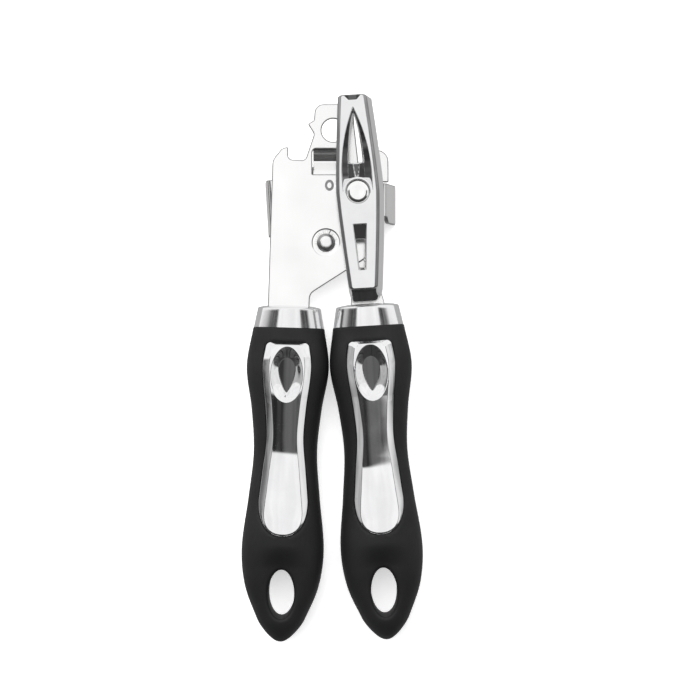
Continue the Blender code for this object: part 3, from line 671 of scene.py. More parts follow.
def grip_rows():
    """The places down the grip where its sections are drawn, closer together round the hole and tail."""
    hole_top = HOLE_PLACE - HOLE_HALF_LENGTH
    hole_end = HOLE_PLACE + HOLE_HALF_LENGTH
    near = [0.0, 0.02, 0.08, 0.2, 0.4, 0.7, 1.1, 1.6, 2.2]
    rows = list(np.linspace(0.9, hole_top - 2.4, 112))
    rows += [hole_top - n for n in reversed(near[1:])]
    rows += [hole_top + n for n in near]
    rows += list(np.linspace(hole_top + 2.9, hole_end - 2.9, 18))
    rows += [hole_end - n for n in reversed(near)]
    rows += [hole_end + n for n in (0.05, 0.2, 0.4, 0.7, 1.1, 1.6)]
    tail = np.linspace(0.0, 1.0, 20)[1:-1]
    start = hole_end + 1.6
    rows += [start + (GRIP_LENGTH - start) * math.sin(math.pi / 2 * t) for t in tail]
    return rows


def across_shares():
    """Shares of the way from the middle to the side, closer together at both ends."""
    shares = [0.0, 0.02, 0.045, 0.075, 0.11] + [0.11 + 0.89 * k / 21 for k in range(1, 22)]
    return [math.sin(math.pi / 2 * share) for share in shares]


def half_section(down, inset):
    """One half of the grip's section, from the front's inner edge round the side to the back's."""
    half_width = grip_half_width(down) - inset
    inner = hole_edge(down)
    front = []
    back = []
    for share in across_shares():
        x = inner + (half_width - inner) * share
        height = max(surface_height(x, down, inset), 0.0)
        rim = rim_drop(hole_distance(x, down), HOLE_RIM)
        fall = thumb_dish(x, down) + rim + inlay_pocket(x, down)
        top = MID_PLANE + height - min(fall, 0.9 * height)
        bottom = max(MID_PLANE - height, 0.0)
        front.append((x, top))
        back.append((x, bottom + min(rim, 0.9 * height)))
    return front + list(reversed(back[:-1]))


def grip_mesh(handle):
    """The grip: sections down its length, split round the hanging hole, with rounded ends."""
    points = []
    faces = []
    rows = []
    # the upper end is rounded by sections that stand in from the full one
    ends = [(0.02, 3.0), (0.02, 0.3), (0.08, 0.17), (0.2, 0.06), (0.4, 0.01)]
    for down, inset in ends + [(down, 0.0) for down in grip_rows()]:
        section = half_section(down, inset)
        middle = (0, len(section) - 1)
        rows.append(mirrored_row(points, down, section, middle, hole_edge(down) > 1e-6))
    for side, after, is_open in row_pairs(rows):
        faces += strip(side, after)
        if is_open:
            faces.append((side[0], after[0], after[-1], side[-1]))
    start, tip = [right + left[-2:0:-1] for right, left, _ in (rows[0], rows[-1])]
    faces.append(start)
    faces += strip(tip, [len(points)] * len(tip), closed=True)
    points.append((0.0, GRIP_LENGTH, MID_PLANE))
    return mesh_from(handle.side + "_grip_skin", [handle.place(*p) for p in points], faces, 60)


def inlay_half_width(down):
    """Half the inlay's width, with rounded upper corners and a round lower end."""
    if down > INLAY_ROUND_START:
        share = (down - INLAY_ROUND_START) / (INLAY_END - INLAY_ROUND_START)
        rounding = max(0.0, 1 - share ** INLAY_ROUNDNESS) ** (1 / INLAY_ROUNDNESS)
        return INLAY_HALF_WIDTHS[-1][1] * rounding
    width = smooth_value(INLAY_HALF_WIDTHS, down)
    if down < INLAY_START + INLAY_CORNER:
        width += chord(INLAY_CORNER, INLAY_CORNER - (down - INLAY_START)) - INLAY_CORNER
    return width


def inlay_rows():
    """The places down the inlay where its surface is drawn."""
    rows = [INLAY_START + INLAY_CORNER * (1 - math.cos(math.pi / 2 * k / 8)) for k in range(8)]
    dimple_end = DIMPLE_PLACE + DIMPLE_HALF_LENGTH + 0.6
    rows += list(np.linspace(INLAY_START + INLAY_CORNER, dimple_end, 130))
    rows += list(np.linspace(dimple_end, INLAY_ROUND_START, 90))[1:]
    length = INLAY_END - INLAY_ROUND_START
    rows += [INLAY_ROUND_START + length * math.sin(math.pi / 2 * k / 40) for k in range(1, 40)]
    return rows


def crest(side, down):
    """How far the inlay's middle line stands above the grip's middle plane."""
    return smooth_value(INLAY_CRESTS[side], down)


def dimple_depth(side, across, down):
    """The thumb dimple: a long oval whose sloping walls meet a teardrop floor that points to the tail."""
    v = down - DIMPLE_PLACE
    reach = math.hypot(across, v - DIMPLE_EYE)
    cosine = (v - DIMPLE_EYE) / max(reach, 1e-6)
    sine = across / max(reach, 1e-6)
    # how far the oval's edge is from the eye, in this direction
    a = (sine / DIMPLE_HALF_WIDTH) ** 2 + (cosine / DIMPLE_HALF_LENGTH) ** 2
    b = 2 * DIMPLE_EYE * cosine / DIMPLE_HALF_LENGTH ** 2
    c = (DIMPLE_EYE / DIMPLE_HALF_LENGTH) ** 2 - 1
    oval = (-b + math.sqrt(b * b - 4 * a * c)) / (2 * a)
    # the floor is half an oval toward the head and comes to a blunt point toward the tail
    length, power = DIMPLE_FLOOR_TAIL if cosine > 0 else DIMPLE_FLOOR_HEAD
    floor = abs(sine / DIMPLE_FLOOR_HALF_WIDTH) ** power + abs(cosine / length) ** power
    floor = floor ** (-1 / power)
    share = min(max((oval - reach) / (oval - floor), 0.0), 1.0)
    # the floor is a plane that falls toward the tail
    from_start = v + DIMPLE_FLOOR_START
    start = DIMPLE_PLACE - DIMPLE_FLOOR_START + min(0.0, from_start)
    depth = DIMPLE_DEPTH + DIMPLE_FALL * max(from_start, 0.0)
    depth += crest(side, down) - crest(side, start)
    return depth * (0.8 * share + 0.2 * float(step(share, 0.0, 1.0)))


def inlay_height(side, across, down, half_width, edge):
    """The height of the inlay's surface: its crown, less the bevelled border and the dimple."""
    # the border is narrower along the inlay's upper end, and fades round its lower one
    away = float(np.min(np.hypot(edge[:, 0] - abs(across), edge[:, 1] - down)))
    away = min(away, INLAY_UPPER_SLOPE * (down - INLAY_START))
    border = INLAY_BORDER * (1 - INLAY_FADED_SHARE * float(step(down, *INLAY_BORDER_FADE)))
    crown = MID_PLANE + crest(side, down) - INLAY_CROWN * (across / max(half_width, 8.0)) ** 2
    return crown - INLAY_BORDER_SLOPE * max(border - away, 0.0) - dimple_depth(side, across, down)


def inlay_mesh(handle):
    """The inlay: a shell over the grip's front, closed by a wall and a floor in the pocket."""
    downs = inlay_rows()
    edge = np.array([(inlay_half_width(down), down) for down in downs] + [(0.0, INLAY_END)])
    points = []
    rows = []
    for down in downs:
        half_width = inlay_half_width(down)
        row = []
        for k in range(-INLAY_STEPS, INLAY_STEPS + 1):
            x = k / INLAY_STEPS * half_width
            row.append(len(points))
            points.append((x, down, inlay_height(handle.side, x, down, half_width, edge)))
        rows.append(row)
    faces = []
    for row, after in zip(rows, rows[1:]):
        faces += strip(row, after)
    loop = rows[0] + [row[-1] for row in rows[1:-1]] + rows[-1][::-1] + [row[0] for row in rows[-2:0:-1]]
    bottom = node_heights(handle.side + "_inlay")[0] + 0.4
    floor = range(len(points), len(points) + len(loop))
    for x, down, z in [points[corner] for corner in loop]:
        points.append((x, down, min(z - 0.3, bottom)))
    faces += strip(loop, floor, closed=True)
    faces.append(floor[::-1])
    return mesh_from(handle.side + "_inlay_shell", [handle.place(*p) for p in points], faces, 60)


COLLAR_RIM = (-0.04, 24.4, 15.0)  # place, width, height
COLLAR_BASE = (-0.04, 26.65, 17.25)
COLLAR_SHOULDER = (-7.0, 24.05, 16.9)
COLLAR_ROUNDING = (0.75, 1.6)  # along, inward
COLLAR_CROWN = ((-8.1, 19.5, 12.0), (-8.35, 15.0, 8.5), (-8.5, 8.0, 4.0))


def collar_rings():
    """The collar's (place, width, height) rings: its rim, tapered side, rounded shoulder and crown."""
    base = np.array(COLLAR_BASE)
    shoulder = np.array(COLLAR_SHOULDER)
    rings = [COLLAR_RIM]
    rings += [base + (shoulder - base) * k / 8 for k in range(9)]
    for k in range(1, 7):
        angle = math.pi / 2 * k / 6
        inset = COLLAR_ROUNDING[1] * (1 - math.cos(angle))
        rings.append(shoulder - (COLLAR_ROUNDING[0] * math.sin(angle), inset, inset))
    return rings + list(COLLAR_CROWN)


def collar_mesh(handle):
    """The chrome collar: a tapered oval with a crowned top, which the tang runs into."""
    points = []
    rows = []
    for down, width, height in collar_rings():
        rows.append(range(len(points), len(points) + COLLAR_STEPS))
        for k in range(COLLAR_STEPS):
            angle = 2 * math.pi * (k + 0.5) / COLLAR_STEPS
            c = math.cos(angle)
            s = math.sin(angle)
            x = width / 2 * math.copysign(abs(c) ** (2 / GRIP_POWER), c)
            z = height / 2 * math.copysign(abs(s) ** (2 / GRIP_POWER), s)
            points.append(handle.place(x, down, MID_PLANE + z))
    faces = []
    for row, after in zip(rows, rows[1:]):
        faces += strip(row, after, closed=True)
    faces += [rows[0], rows[-1][::-1]]
    return mesh_from(handle.side + "_collar", points, faces, 50)


def paint_node(node, finish):
    """Give a CAD node that stays its finish."""
    mesh = frame["nodes"][node].data
    mesh.materials.clear()
    add_finishes(mesh, [finish])


def build_handle(side):
    """A handle's skin, inlay and collar, and finishes for what is inside."""
    handle = Handle(side)
    body = handle.body
    add_piece(side + "_grip_skin", grip_mesh(handle), [RUBBER], body, [side + "_grip"])
    add_piece(side + "_inlay_shell", inlay_mesh(handle), [CHROME], body, [side + "_inlay"])
    add_piece(side + "_collar", collar_mesh(handle), [COLLAR_CHROME], body, [side + "_ferrule"])
    paint_node(side + "_core", PLASTIC)
    for name in ("upper", "lower"):
        paint_node(f"{side}_tang_rivet_{name}", TOOL)
    return handle


# Plates


def moved(outline):
    """An outline measured from the pivot, as frame coordinates."""
    return [(x + PIVOT[0], y + PIVOT[1]) for x, y in outline]


TANG_HALF_WIDTH = 6.0
TANG_END = 44.0
TANG_SHOULDER = -0.8
FLANGE_LINE = 21.3
FLANGE_REACH = 34.1
FLANGE_ENDS = (7.2, 22.7)
FLANGE_CORNER = (22.3, 9.5)  # left of it and below it lies the plate's own corner
FLANGE_BEND = 72.4
BEND_RADIUS = 0.6
WINDOW = (-5.2, 7.5, 25.9, 35.6)  # left, right, lower and upper edge
TROUGH_VALLEY = 31.2
TROUGH_DEPTH = 4.1
PIN_HOLE = 2.3
KEY_HOLE = 4.7
STUD_HOLE = 2.8
REAR_RIVET_HOLE = 2.56
RECESS_DEPTH = 0.3
MARK_PLACE = (1.3, 21.7)


def plate_outline(handle, left_neck, right_neck, corners):
    """A plate's flat pattern: its tang and the necks beside it, from the handle, and its own corners."""
    tang = [(TANG_HALF_WIDTH, TANG_END, 2.0), (TANG_HALF_WIDTH, TANG_SHOULDER, 0.5)]
    left = tang + [(left_neck, TANG_SHOULDER, 0.5)]
    right = tang + [(right_neck, TANG_SHOULDER, 0.5)]
    outline = [(*handle.plan(-across, down), radius) for across, down, radius in left]
    outline += corners
    outline += [(*handle.plan(across, down), radius) for across, down, radius in reversed(right)]
    return moved(rounded(outline))


def front_outline(handle):
    """The front plate's flat pattern, with its hooks, and the stop flange before it is bent."""
    return plate_outline(handle, 8.2, 7.5, (
        # the crown-cap hook and its notch
        (-20.3, 31.4, 4.5),
        (-16.7, 35.8, 2.5),
        (-14.3, 36.4, 0.5),
        (-14.3, 31.6, 1.6),
        (-7.9, 31.2, 1.8),
        # the pull-tab hook and the rounded top
        (-4.5, 41.2, 2.0),
        (-6.9, 45.0, 0.5),
        (-4.6, 46.4, 0.8),
        (-4.1, 52.5, 3.4),
        (10.3, 52.6, 2.6),
        (10.8, 43.5, 6.0),
        # the right shoulder
        (12.4, 29.0, 1.5),
        (15.7, 29.0, 1.5),
        (17.2, 35.2, 1.8),
        (23.7, 34.9, 4.4),
        (23.7, 22.9, 0.5),
        # the stop flange, between two small notches
        (FLANGE_LINE, 22.9, 0.0),
        (FLANGE_LINE, 22.5, 0.0),
        (FLANGE_REACH, 22.5, 0.8),
        (FLANGE_REACH, 7.4, 0.8),
        (24.6, 7.4, 2.2),
        (22.6, 9.8, 0.8),
        (FLANGE_LINE, 9.8, 0.0),
        (FLANGE_LINE, 7.0, 0.0),
        # down to the tang
        (22.0, 7.0, 0.3),
        (22.0, -1.4, 1.2),
        (-6.1, -19.4, 3.5),
    ))


def pin_holes(handle):
    """The holes for the tang's pins."""
    return [moved(circle(*handle.plan(0.0, place), PIN_HOLE, 32)) for place in PIN_PLACES]


def from_pivot(point):
    """A point of the frame, in metres, as plan millimetres from the pivot."""
    return point.x / MM - PIVOT[0], point.y / MM - PIVOT[1]


def on_stop_flange(point):
    """Whether a point is on the stop flange's flat pattern."""
    x, y = from_pivot(point)
    within = FLANGE_ENDS[0] < y < FLANGE_ENDS[1] and (x > FLANGE_CORNER[0] or y > FLANGE_CORNER[1])
    return x > FLANGE_LINE - 0.01 and within


def build_front_plate(handle):
    """The front plate: bent stop flange, holes, a stamped recess and a generic oval mark."""
    left, right, low, high = WINDOW
    window = rounded(((left, low, 0.3), (left, high, 1.5), (right, high, 0.5), (right, low, 0.3)))
    outlines = [
        front_outline(handle),
        moved(circle(2.7, 42.6, 4.4)),
        moved(window),
        circle(*KEY_AXIS, KEY_HOLE),
        circle(*PIVOT, STUD_HOLE),
    ]
    solid = flat_solid("front_plate_sheet", outlines + pin_holes(handle), FRONT_LOW, FRONT_TOP)
    round_edges(solid, 0.38)
    flange_start = (PIVOT[0] + FLANGE_LINE, PIVOT[1])
    bend(solid, flange_start, (1.0, 0.0), FLANGE_BEND, FRONT_LOW, on_stop_flange)
    above = FRONT_TOP + 0.5
    floor = FRONT_TOP - RECESS_DEPTH
    profile = ((0.0, above), (6.2, above), (5.5, FRONT_TOP), (5.3, FRONT_TOP - 0.12), (5.0, floor),
               (0.0, floor))
    recess = turned_mesh("recess", PIVOT, profile, bored=False)
    mark_edges = [moved(ellipse(*MARK_PLACE, 1.7, 2.1)), moved(ellipse(*MARK_PLACE, 0.8, 1.1))]
    mark = flat_solid("mark", mark_edges, floor, above)
    # the mark's walls take the darker edge finish: painted shade in the stamped cut
    for face in mark.faces:
        face.material_index = 1
    mesh = sheet_mesh(solid, [recess, tidy_mesh("mark", mark, 30)])
    add_piece("front_plate_sheet", mesh, (), "left_lever", ["front_plate"])
    build_trough()


def build_trough():
    """The trough pressed back through the window: a bent strip with rounded edges."""
    left, right, low, high = WINDOW
    bottom = FRONT_TOP - TROUGH_DEPTH
    profile = rounded((
        (low - 0.5, FRONT_TOP - 0.5, 0.0),
        (low + 0.6, FRONT_TOP - 0.5, 1.2),
        (TROUGH_VALLEY, bottom, 1.0),
        (high - 0.2, FRONT_TOP - 0.03, 1.6),
        (high + 0.5, FRONT_TOP - 0.03, 0.0),
        (high + 0.5, FRONT_LOW + 0.03, 0.0),
        (high - 0.4, FRONT_LOW + 0.03, 0.5),
        (TROUGH_VALLEY, bottom - 1.5, 1.6),
        (low + 0.4, FRONT_LOW + 0.03, 0.5),
        (low - 0.5, FRONT_LOW + 0.03, 0.0),
    ), 6)
    half_length = (right - left) / 2 - 0.35
    solid = flat_solid("rim_trough", [profile], -half_length, half_length)
    round_edges(solid, 0.15)
    upright = Matrix(((0, 0, 1, 0), (1, 0, 0, 0), (0, 1, 0, 0), (0, 0, 0, 1)))
    middle = Matrix.Translation(((PIVOT[0] + (left + right) / 2) * MM, PIVOT[1] * MM, 0.0))
    bmesh.ops.transform(solid, matrix=middle @ upright, verts=solid.verts)
    # the strip's cut ends take the darker edge finish: partly a dull sheared edge, partly painted shade
    for face in solid.faces:
        face.material_index = 1 if abs(face.normal.x) > 0.5 else 0
    add_piece("rim_trough", sheet_mesh(solid), (), "left_lever")


REAR_NECK = 6.6
REAR_FLANGE_MIDDLE = (-20.17, 13.4)
REAR_FLANGE_TURN = math.radians(3.5)
REAR_FLANGE_HALF = 10.6
REAR_FLANGE_REACH = 10.1
REAR_FLANGE_BEND = 85.5


def rear_flange(along, out):
    """A plan point on the rear plate's flange: along its bend line, and outward from it."""
    x = REAR_FLANGE_MIDDLE[0] - out * math.cos(REAR_FLANGE_TURN) - along * math.sin(REAR_FLANGE_TURN)
    y = REAR_FLANGE_MIDDLE[1] - out * math.sin(REAR_FLANGE_TURN) + along * math.cos(REAR_FLANGE_TURN)
    return (x, y)


def rear_outline(handle):
    """The rear plate's flat pattern, with its flange before it is bent."""
    return plate_outline(handle, REAR_NECK, REAR_NECK, (
        (9.4, -8.6, 3.0),
        (-9.0, -9.5, 4.0),
        # the flange
        (*rear_flange(-REAR_FLANGE_HALF, 0.0), 0.0),
        (*rear_flange(-REAR_FLANGE_HALF, REAR_FLANGE_REACH), 0.8),
        (*rear_flange(REAR_FLANGE_HALF, REAR_FLANGE_REACH), 0.8),
        (*rear_flange(REAR_FLANGE_HALF, 0.0), 0.0),
        # round the cutting disc's stud, clear of the feed wheel, and down to the tang
        (-5.8, 24.7, 3.0),
        (3.4, 22.4, 2.0),
        (3.4, 12.3, 1.5),
        (10.4, 7.8, 4.0),
        (12.8, 0.0, 6.0),
        (13.0, -4.5, 3.0),
        (19.2, -12.4, 4.0),
        (*handle.plan(REAR_NECK, -8.8), 3.0),
    ))


def on_rear_flange(point):
    """Whether a point is on the rear flange's flat pattern."""
    x, y = from_pivot(point)
    out = (REAR_FLANGE_MIDDLE[0] - x) * math.cos(REAR_FLANGE_TURN)
    out += (REAR_FLANGE_MIDDLE[1] - y) * math.sin(REAR_FLANGE_TURN)
    return out > -0.01


def build_rear_plate(handle):
    """The rear plate, with its left flange bent back."""
    outlines = [rear_outline(handle), circle(*PIVOT, REAR_RIVET_HOLE), circle(*CUTTER_AXIS, STUD_HOLE)]
    solid = flat_solid("rear_plate_sheet", outlines + pin_holes(handle), REAR_LOW, REAR_TOP)
    round_edges(solid, 0.3)
    start = (PIVOT[0] + REAR_FLANGE_MIDDLE[0], PIVOT[1] + REAR_FLANGE_MIDDLE[1])
    outward = (-math.cos(REAR_FLANGE_TURN), -math.sin(REAR_FLANGE_TURN))
    bend(solid, start, outward, REAR_FLANGE_BEND, REAR_LOW, on_rear_flange)
    add_piece("rear_plate_sheet", sheet_mesh(solid), (), "right_lever", ["rear_plate"])


# Key


KEY_HALF_LENGTH = 36.0
KEY_HUB_HALF_WIDTH = 8.0
KEY_TIP_HALF_WIDTH = 5.3
KEY_CORNER = 0.6
KEY_EDGE = 1.3
KEY_END_EDGE = 0.4
KEY_EDGE_DROP = 1.1
KEY_EDGE_STEPS = 7
KEY_SIDE_DRAFTS = (0.1, 1.9)  # left, right
KEY_END_DRAFTS = (4.3, 0.2)  # lower, upper
KEY_WALL = 1.7
SCOOP_START = 5.3
SCOOP_END = 31.5
SCOOP_HALF_WIDTH = 5.6
SCOOP_DEPTHS = (4.0, 0.9)  # start, end
SCOOP_SLOPE = 0.8
UPPER_SLOT = (10.9, 30.3, 2.7)  # start, end, half width
LOWER_SLOT = (12.1, 29.0, 2.36)
LOWER_SLOT_TAPER = 0.072
ARCH_FOOT_CORNER = 0.9
SLOT_CORNER = 0.4
RAMP_END = 17.3
TIP_PATCH = 2.2
TIP_PATCH_SLOPES = (0.22, 1.16)  # up toward the tip, and of its slanting edge
WING_THINNING = (22.0, 14.0, 0.5)  # start, length, depth
HUB_HOLE = 4.4
HOLE_ROUNDING = 0.35
SLOT_ROUNDING = 0.3
BOSS_RADII = (3.5, 6.4)
BOSS_DEPTH = 3.6


def arch_half_width(along, start, end, half_width):
    """Half the width of a pointed arch that stands at start and has its point at end."""
    rise = end - start
    radius = (rise * rise + half_width * half_width) / (2 * half_width)
    reach = min(max(along - start, 0.0), rise)
    return chord(radius, reach) - radius + half_width


def key_half_width(along):
    """Half the width of the key's face, with round corners at its tips."""
    share = min(abs(along) / KEY_HALF_LENGTH, 1.0)
    width = KEY_HUB_HALF_WIDTH - (KEY_HUB_HALF_WIDTH - KEY_TIP_HALF_WIDTH) * share ** 1.25 - KEY_EDGE
    corner = abs(along) - (KEY_HALF_LENGTH - KEY_END_EDGE - KEY_CORNER)
    if corner > 0:
        width += chord(KEY_CORNER, corner) - KEY_CORNER
    return width


def slot_half_width(along):
    """Half the width of a wing's slot with sharp corners, and how far past its ends a place is."""
    start, end, half_width = UPPER_SLOT if along > 0 else LOWER_SLOT
    place = min(max(abs(along), start), end)
    if along > 0:
        width = arch_half_width(place, start, end, half_width)
    else:
        width = half_width - LOWER_SLOT_TAPER * (place - start)
    return width, max(start - abs(along), abs(along) - end)


def key_opening(along):
    """Half the width of what is open at a place along the key: the hub's hole or a wing's slot."""
    place = abs(along)
    if place < HUB_HOLE:
        return chord(HUB_HOLE, place)
    width, past = slot_half_width(along)
    if past >= 0:
        return 0.0
    at_arch_foot = along > 0 and place < sum(UPPER_SLOT[:2]) / 2
    radius = min(ARCH_FOOT_CORNER if at_arch_foot else SLOT_CORNER, width)
    if -past >= radius:
        return width
    return width - radius + chord(radius, radius + past)


def key_face_height(across, along):
    """The height of the key's face: the upper wing is scooped, and has a small ramp up to its tip."""
    place = abs(along)
    x = abs(across)
    drop = 0.0
    if along > 0:
        # the scoop is a trough with sloping sides and a floor that rises toward the tip
        sides = arch_half_width(place, SCOOP_START, SCOOP_END, SCOOP_HALF_WIDTH) - x
        if place > SCOOP_END:
            sides = SCOOP_END - place - x
        pad = math.hypot(x, place) - SCOOP_START
        share = min(max((place - SCOOP_START) / (SCOOP_END - SCOOP_START), 0.0), 1.0)
        depth = SCOOP_DEPTHS[0] * (1 - share) + SCOOP_DEPTHS[1] * share
        drop = min(SCOOP_SLOPE * max(sides, 0.0), depth) * float(step(pad, 0.0, 0.3))
        # the wing thins toward its tip, and ramps up again in a patch at the very end
        start, length, thinning = WING_THINNING
        drop += thinning * min(max((place - start) / length, 0.0), 1.0)
        rise, spread = TIP_PATCH_SLOPES
        patch = place - (KEY_HALF_LENGTH - TIP_PATCH + max(x - 1.5, 0.0) * spread)
        drop -= rise * max(patch, 0.0)
    width, past = slot_half_width(along)
    drop += rim_drop(math.hypot(max(x - width, 0.0), max(past, 0.0)), SLOT_ROUNDING)
    drop += rim_drop(max(math.hypot(x, place) - HUB_HOLE, 0.0), HOLE_ROUNDING)
    return KEY_TOP - max(drop, 0.0)


def key_rows():
    """Places along the key where its face is drawn, closer together at the holes' ends."""
    end = KEY_HALF_LENGTH - KEY_END_EDGE
    places = list(np.linspace(0.0, end, 130)) + list(np.linspace(2.0, 6.4, 44))
    for edge in (HUB_HOLE, SCOOP_START, *UPPER_SLOT[:2], *LOWER_SLOT[:2]):
        for away in (0.0, 0.01, 0.04, 0.1, 0.18, 0.3, 0.45, 0.65):
            places += [edge - away, edge + away]
    places += [end - KEY_CORNER * (1 - math.sin(math.pi / 2 * k / 8)) for k in range(9)]
    half = sorted({round(float(place), 4) for place in places if place <= end + 1e-6})
    return [-p for p in reversed(half[1:])] + half


def key_point(across, along, height):
    """A point on the key as frame coordinates."""
    tilt = math.radians(KEY_TILT)
    x = KEY_AXIS[0] + across * math.cos(tilt) - along * math.sin(tilt)
    y = KEY_AXIS[1] + across * math.sin(tilt) + along * math.cos(tilt)
    return (x, y, height)


def key_face_rows(points):
    """The right and left halves of each row of the key's face, and whether a hole parts them."""
    shares = [0.0, 0.03, 0.07, 0.12] + [0.12 + 0.88 * k / 32 for k in range(1, 33)]
    rows = []
    for along in key_rows():
        outer = key_half_width(along)
        inner = key_opening(along)
        places = [inner + (outer - inner) * share for share in shares]
        section = [(x, key_face_height(x, along)) for x in places]
        rows.append(mirrored_row(points, along, section, (0,), inner > 1e-6))
    return rows


def key_edge_rings(points, rows):
    """Rings of corners from the face's rim over its edge, down the drafted wall and up its inside."""
    loop = rows[0][1][::-1] + rows[0][0][1:]
    loop += [right[-1] for right, _, _ in rows[1:-1]]
    loop += rows[-1][0][::-1] + rows[-1][1][1:]
    loop += [left[-1] for _, left, _ in rows[-2:0:-1]]
    rim = np.array([points[corner] for corner in loop])
    ahead = np.roll(rim[:, :2], -1, axis=0) - np.roll(rim[:, :2], 1, axis=0)
    normal = np.stack([ahead[:, 1], -ahead[:, 0]], axis=1)
    normal /= np.linalg.norm(normal, axis=1)[:, None]
    height = KEY_TOP - KEY_LOW - KEY_EDGE_DROP
    levels = []
    for k in range(1, KEY_EDGE_STEPS + 1):
        angle = math.pi / 2 * k / KEY_EDGE_STEPS
        levels.append((math.sin(angle), KEY_EDGE_DROP * (1 - math.cos(angle)), 0.0, 0.0))
    for k in range(1, 9):
        levels.append((1.0, KEY_EDGE_DROP + height * k / 8, k / 8, 0.0))
    levels.append((1.0, KEY_EDGE_DROP + height, 1.0, KEY_WALL))
    rings = [loop]
    for out, drop, draft, inset in levels:
        rings.append(range(len(points), len(points) + len(loop)))
        for (x, along, z), (nx, ny) in zip(rim, normal):
            side_draft = KEY_SIDE_DRAFTS[1 if nx > 0 else 0] * draft
            end_draft = KEY_END_DRAFTS[1 if ny > 0 else 0] * draft
            px = x + nx * (KEY_EDGE * out + side_draft - inset)
            py = along + ny * (KEY_END_EDGE * out + end_draft - inset)
            points.append((px, py, min(z, KEY_TOP - drop)))
    return rings


def key_mesh():
    """The key: a scooped face with a hub hole and two slots, drafted walls, and a hollow back."""
    points = []
    rows = key_face_rows(points)
    # the inside of the shell follows the face, one wall lower
    count = len(points)
    points += [(x * 0.9, along * 0.965, z - KEY_WALL) for x, along, z in points]
    faces = []
    for side, after, is_open in row_pairs(rows):
        for quad in strip(side, after):
            faces += [quad, [count + corner for corner in reversed(quad)]]
        if is_open:
            faces.append((side[0], after[0], count + after[0], count + side[0]))
    rings = key_edge_rings(points, rows)
    band = {corner for ring in rings[:KEY_EDGE_STEPS + 1] for corner in ring}
    # the hollow back and the slots' walls are not polished
    hollow = {*range(count, 2 * count), *rings[-1]}
    hollow |= {side[0] for row in rows for side in row[:2]}
    rings.append([count + corner for corner in rings[0]])
    for upper, lower in zip(rings, rings[1:]):
        faces += strip(upper, lower, closed=True)
    mesh = mesh_from("turn_key_shell", [key_point(*p) for p in points], faces, 50)
    # the rounded rim takes the dark edge chrome, painted shade for the key's outline; the hollow takes
    # satin
    for polygon in mesh.polygons:
        if band.issuperset(polygon.vertices):
            polygon.material_index = 1
        elif hollow.issuperset(polygon.vertices):
            polygon.material_index = 2
    return mesh


def ramp_mesh():
    """The ramp that leads down into the lower wing's slot."""
    start = LOWER_SLOT[0] + 0.05
    points = []
    for along, top in ((start, KEY_TOP - 0.35), (RAMP_END, KEY_TOP - 3.0)):
        half_width = LOWER_SLOT[2] - LOWER_SLOT_TAPER * (along - LOWER_SLOT[0]) - 0.04
        for height in (top, top - 0.9):
            points.append(key_point(half_width, -along, height))
            points.append(key_point(-half_width, -along, height))
    faces = [(0, 1, 5, 4), (2, 6, 7, 3), (0, 4, 6, 2), (1, 3, 7, 5), (0, 2, 3, 1), (4, 5, 7, 6)]
    return mesh_from("turn_key_ramp", points, faces)


def build_key():
    """The key's shell, the boss inside it that grips the shaft, and the ramp into its lower slot."""
    finishes = (CHROME, SHADED_EDGE_CHROME, SATIN)
    add_piece("turn_key_shell", key_mesh(), finishes, "key", ["turn_key"])
    bore, outer = BOSS_RADII
    top = KEY_TOP - BOSS_DEPTH
    boss = soft_profile(((bore, top, 0.1), (4.7, top, 0.3), (outer, top - 1.7, 0.2), (outer, KEY_LOW, 0.3),
                         (bore, KEY_LOW, 0.2)))
    add_piece("turn_key_boss", turned_mesh("turn_key_boss", KEY_AXIS, boss), [CHROME], "key")
    add_piece("turn_key_ramp", ramp_mesh(), [CHROME], "key")


# Round pieces


def add_turned(name, centre, profile, finish, body, node, bored=True):
    """A turned piece that stands for a CAD node."""
    add_piece(name, turned_mesh(name, centre, profile, bored), [finish], body, [node])


def build_rivet():
    """The domed rivet in its recess and its rear head: satin in the middle, and round it the darker edge
    finish, a painted shade that draws the dome's dark ring.
    """
    radius = 3.45
    bright = 2.3
    seat = FRONT_TOP - 0.28
    profile = []
    for r in np.sin(np.linspace(0, math.pi / 2, 26)):
        profile.append((radius * r, seat + 0.3 + 1.5 * chord(1.0, r * r)))
    low = node_heights("pivot_rivet")[0]
    profile += [(radius, seat), (2.5, seat), (2.5, low + 1.1), (4.2, low + 1.05), (4.25, low + 0.8),
                (4.0, low + 0.35), (3.2, low + 0.1), (0.0, low + 0.05)]
    mesh = turned_mesh("pivot_rivet_domed", PIVOT, profile, bored=False)
    # outside the bright middle the dome takes the darker edge finish: painted shade for its dark ring
    for face in mesh.polygons:
        face.material_index = 1 if math.hypot(*from_pivot(face.center)) > bright else 0
    add_piece("pivot_rivet_domed", mesh, (SATIN, SHEARED_AND_SHADED), "left_lever", ["pivot_rivet"])


def build_shaft():
    """The key's shaft: a shouldered end in the hub, and a flange under the feed wheel."""
    top = KEY_TOP
    low = node_heights("key_shaft")[0]
    face = [(0.0, top - 0.14), (1.6, top - 0.14), (2.1, top - 0.07), (2.95, top - 0.07), (3.1, top - 0.1),
            (4.1, top - 0.46), (4.22, top - 0.6), (4.24, top - 2.6), (4.1, top - 2.9)]
    stem = [(3.3, top - 3.2), (3.2, top - 3.35), (3.2, low + 4.55), (2.6, low + 4.55), (2.6, low + 1.2)]
    foot = [(3.6, low + 1.2), (3.7, low + 1.0), (3.5, low + 0.4), (2.8, low + 0.1), (0.0, low)]
    add_turned("key_shaft_polished", KEY_AXIS, face + stem + foot, STEEL, "key", "key_shaft",
               False)


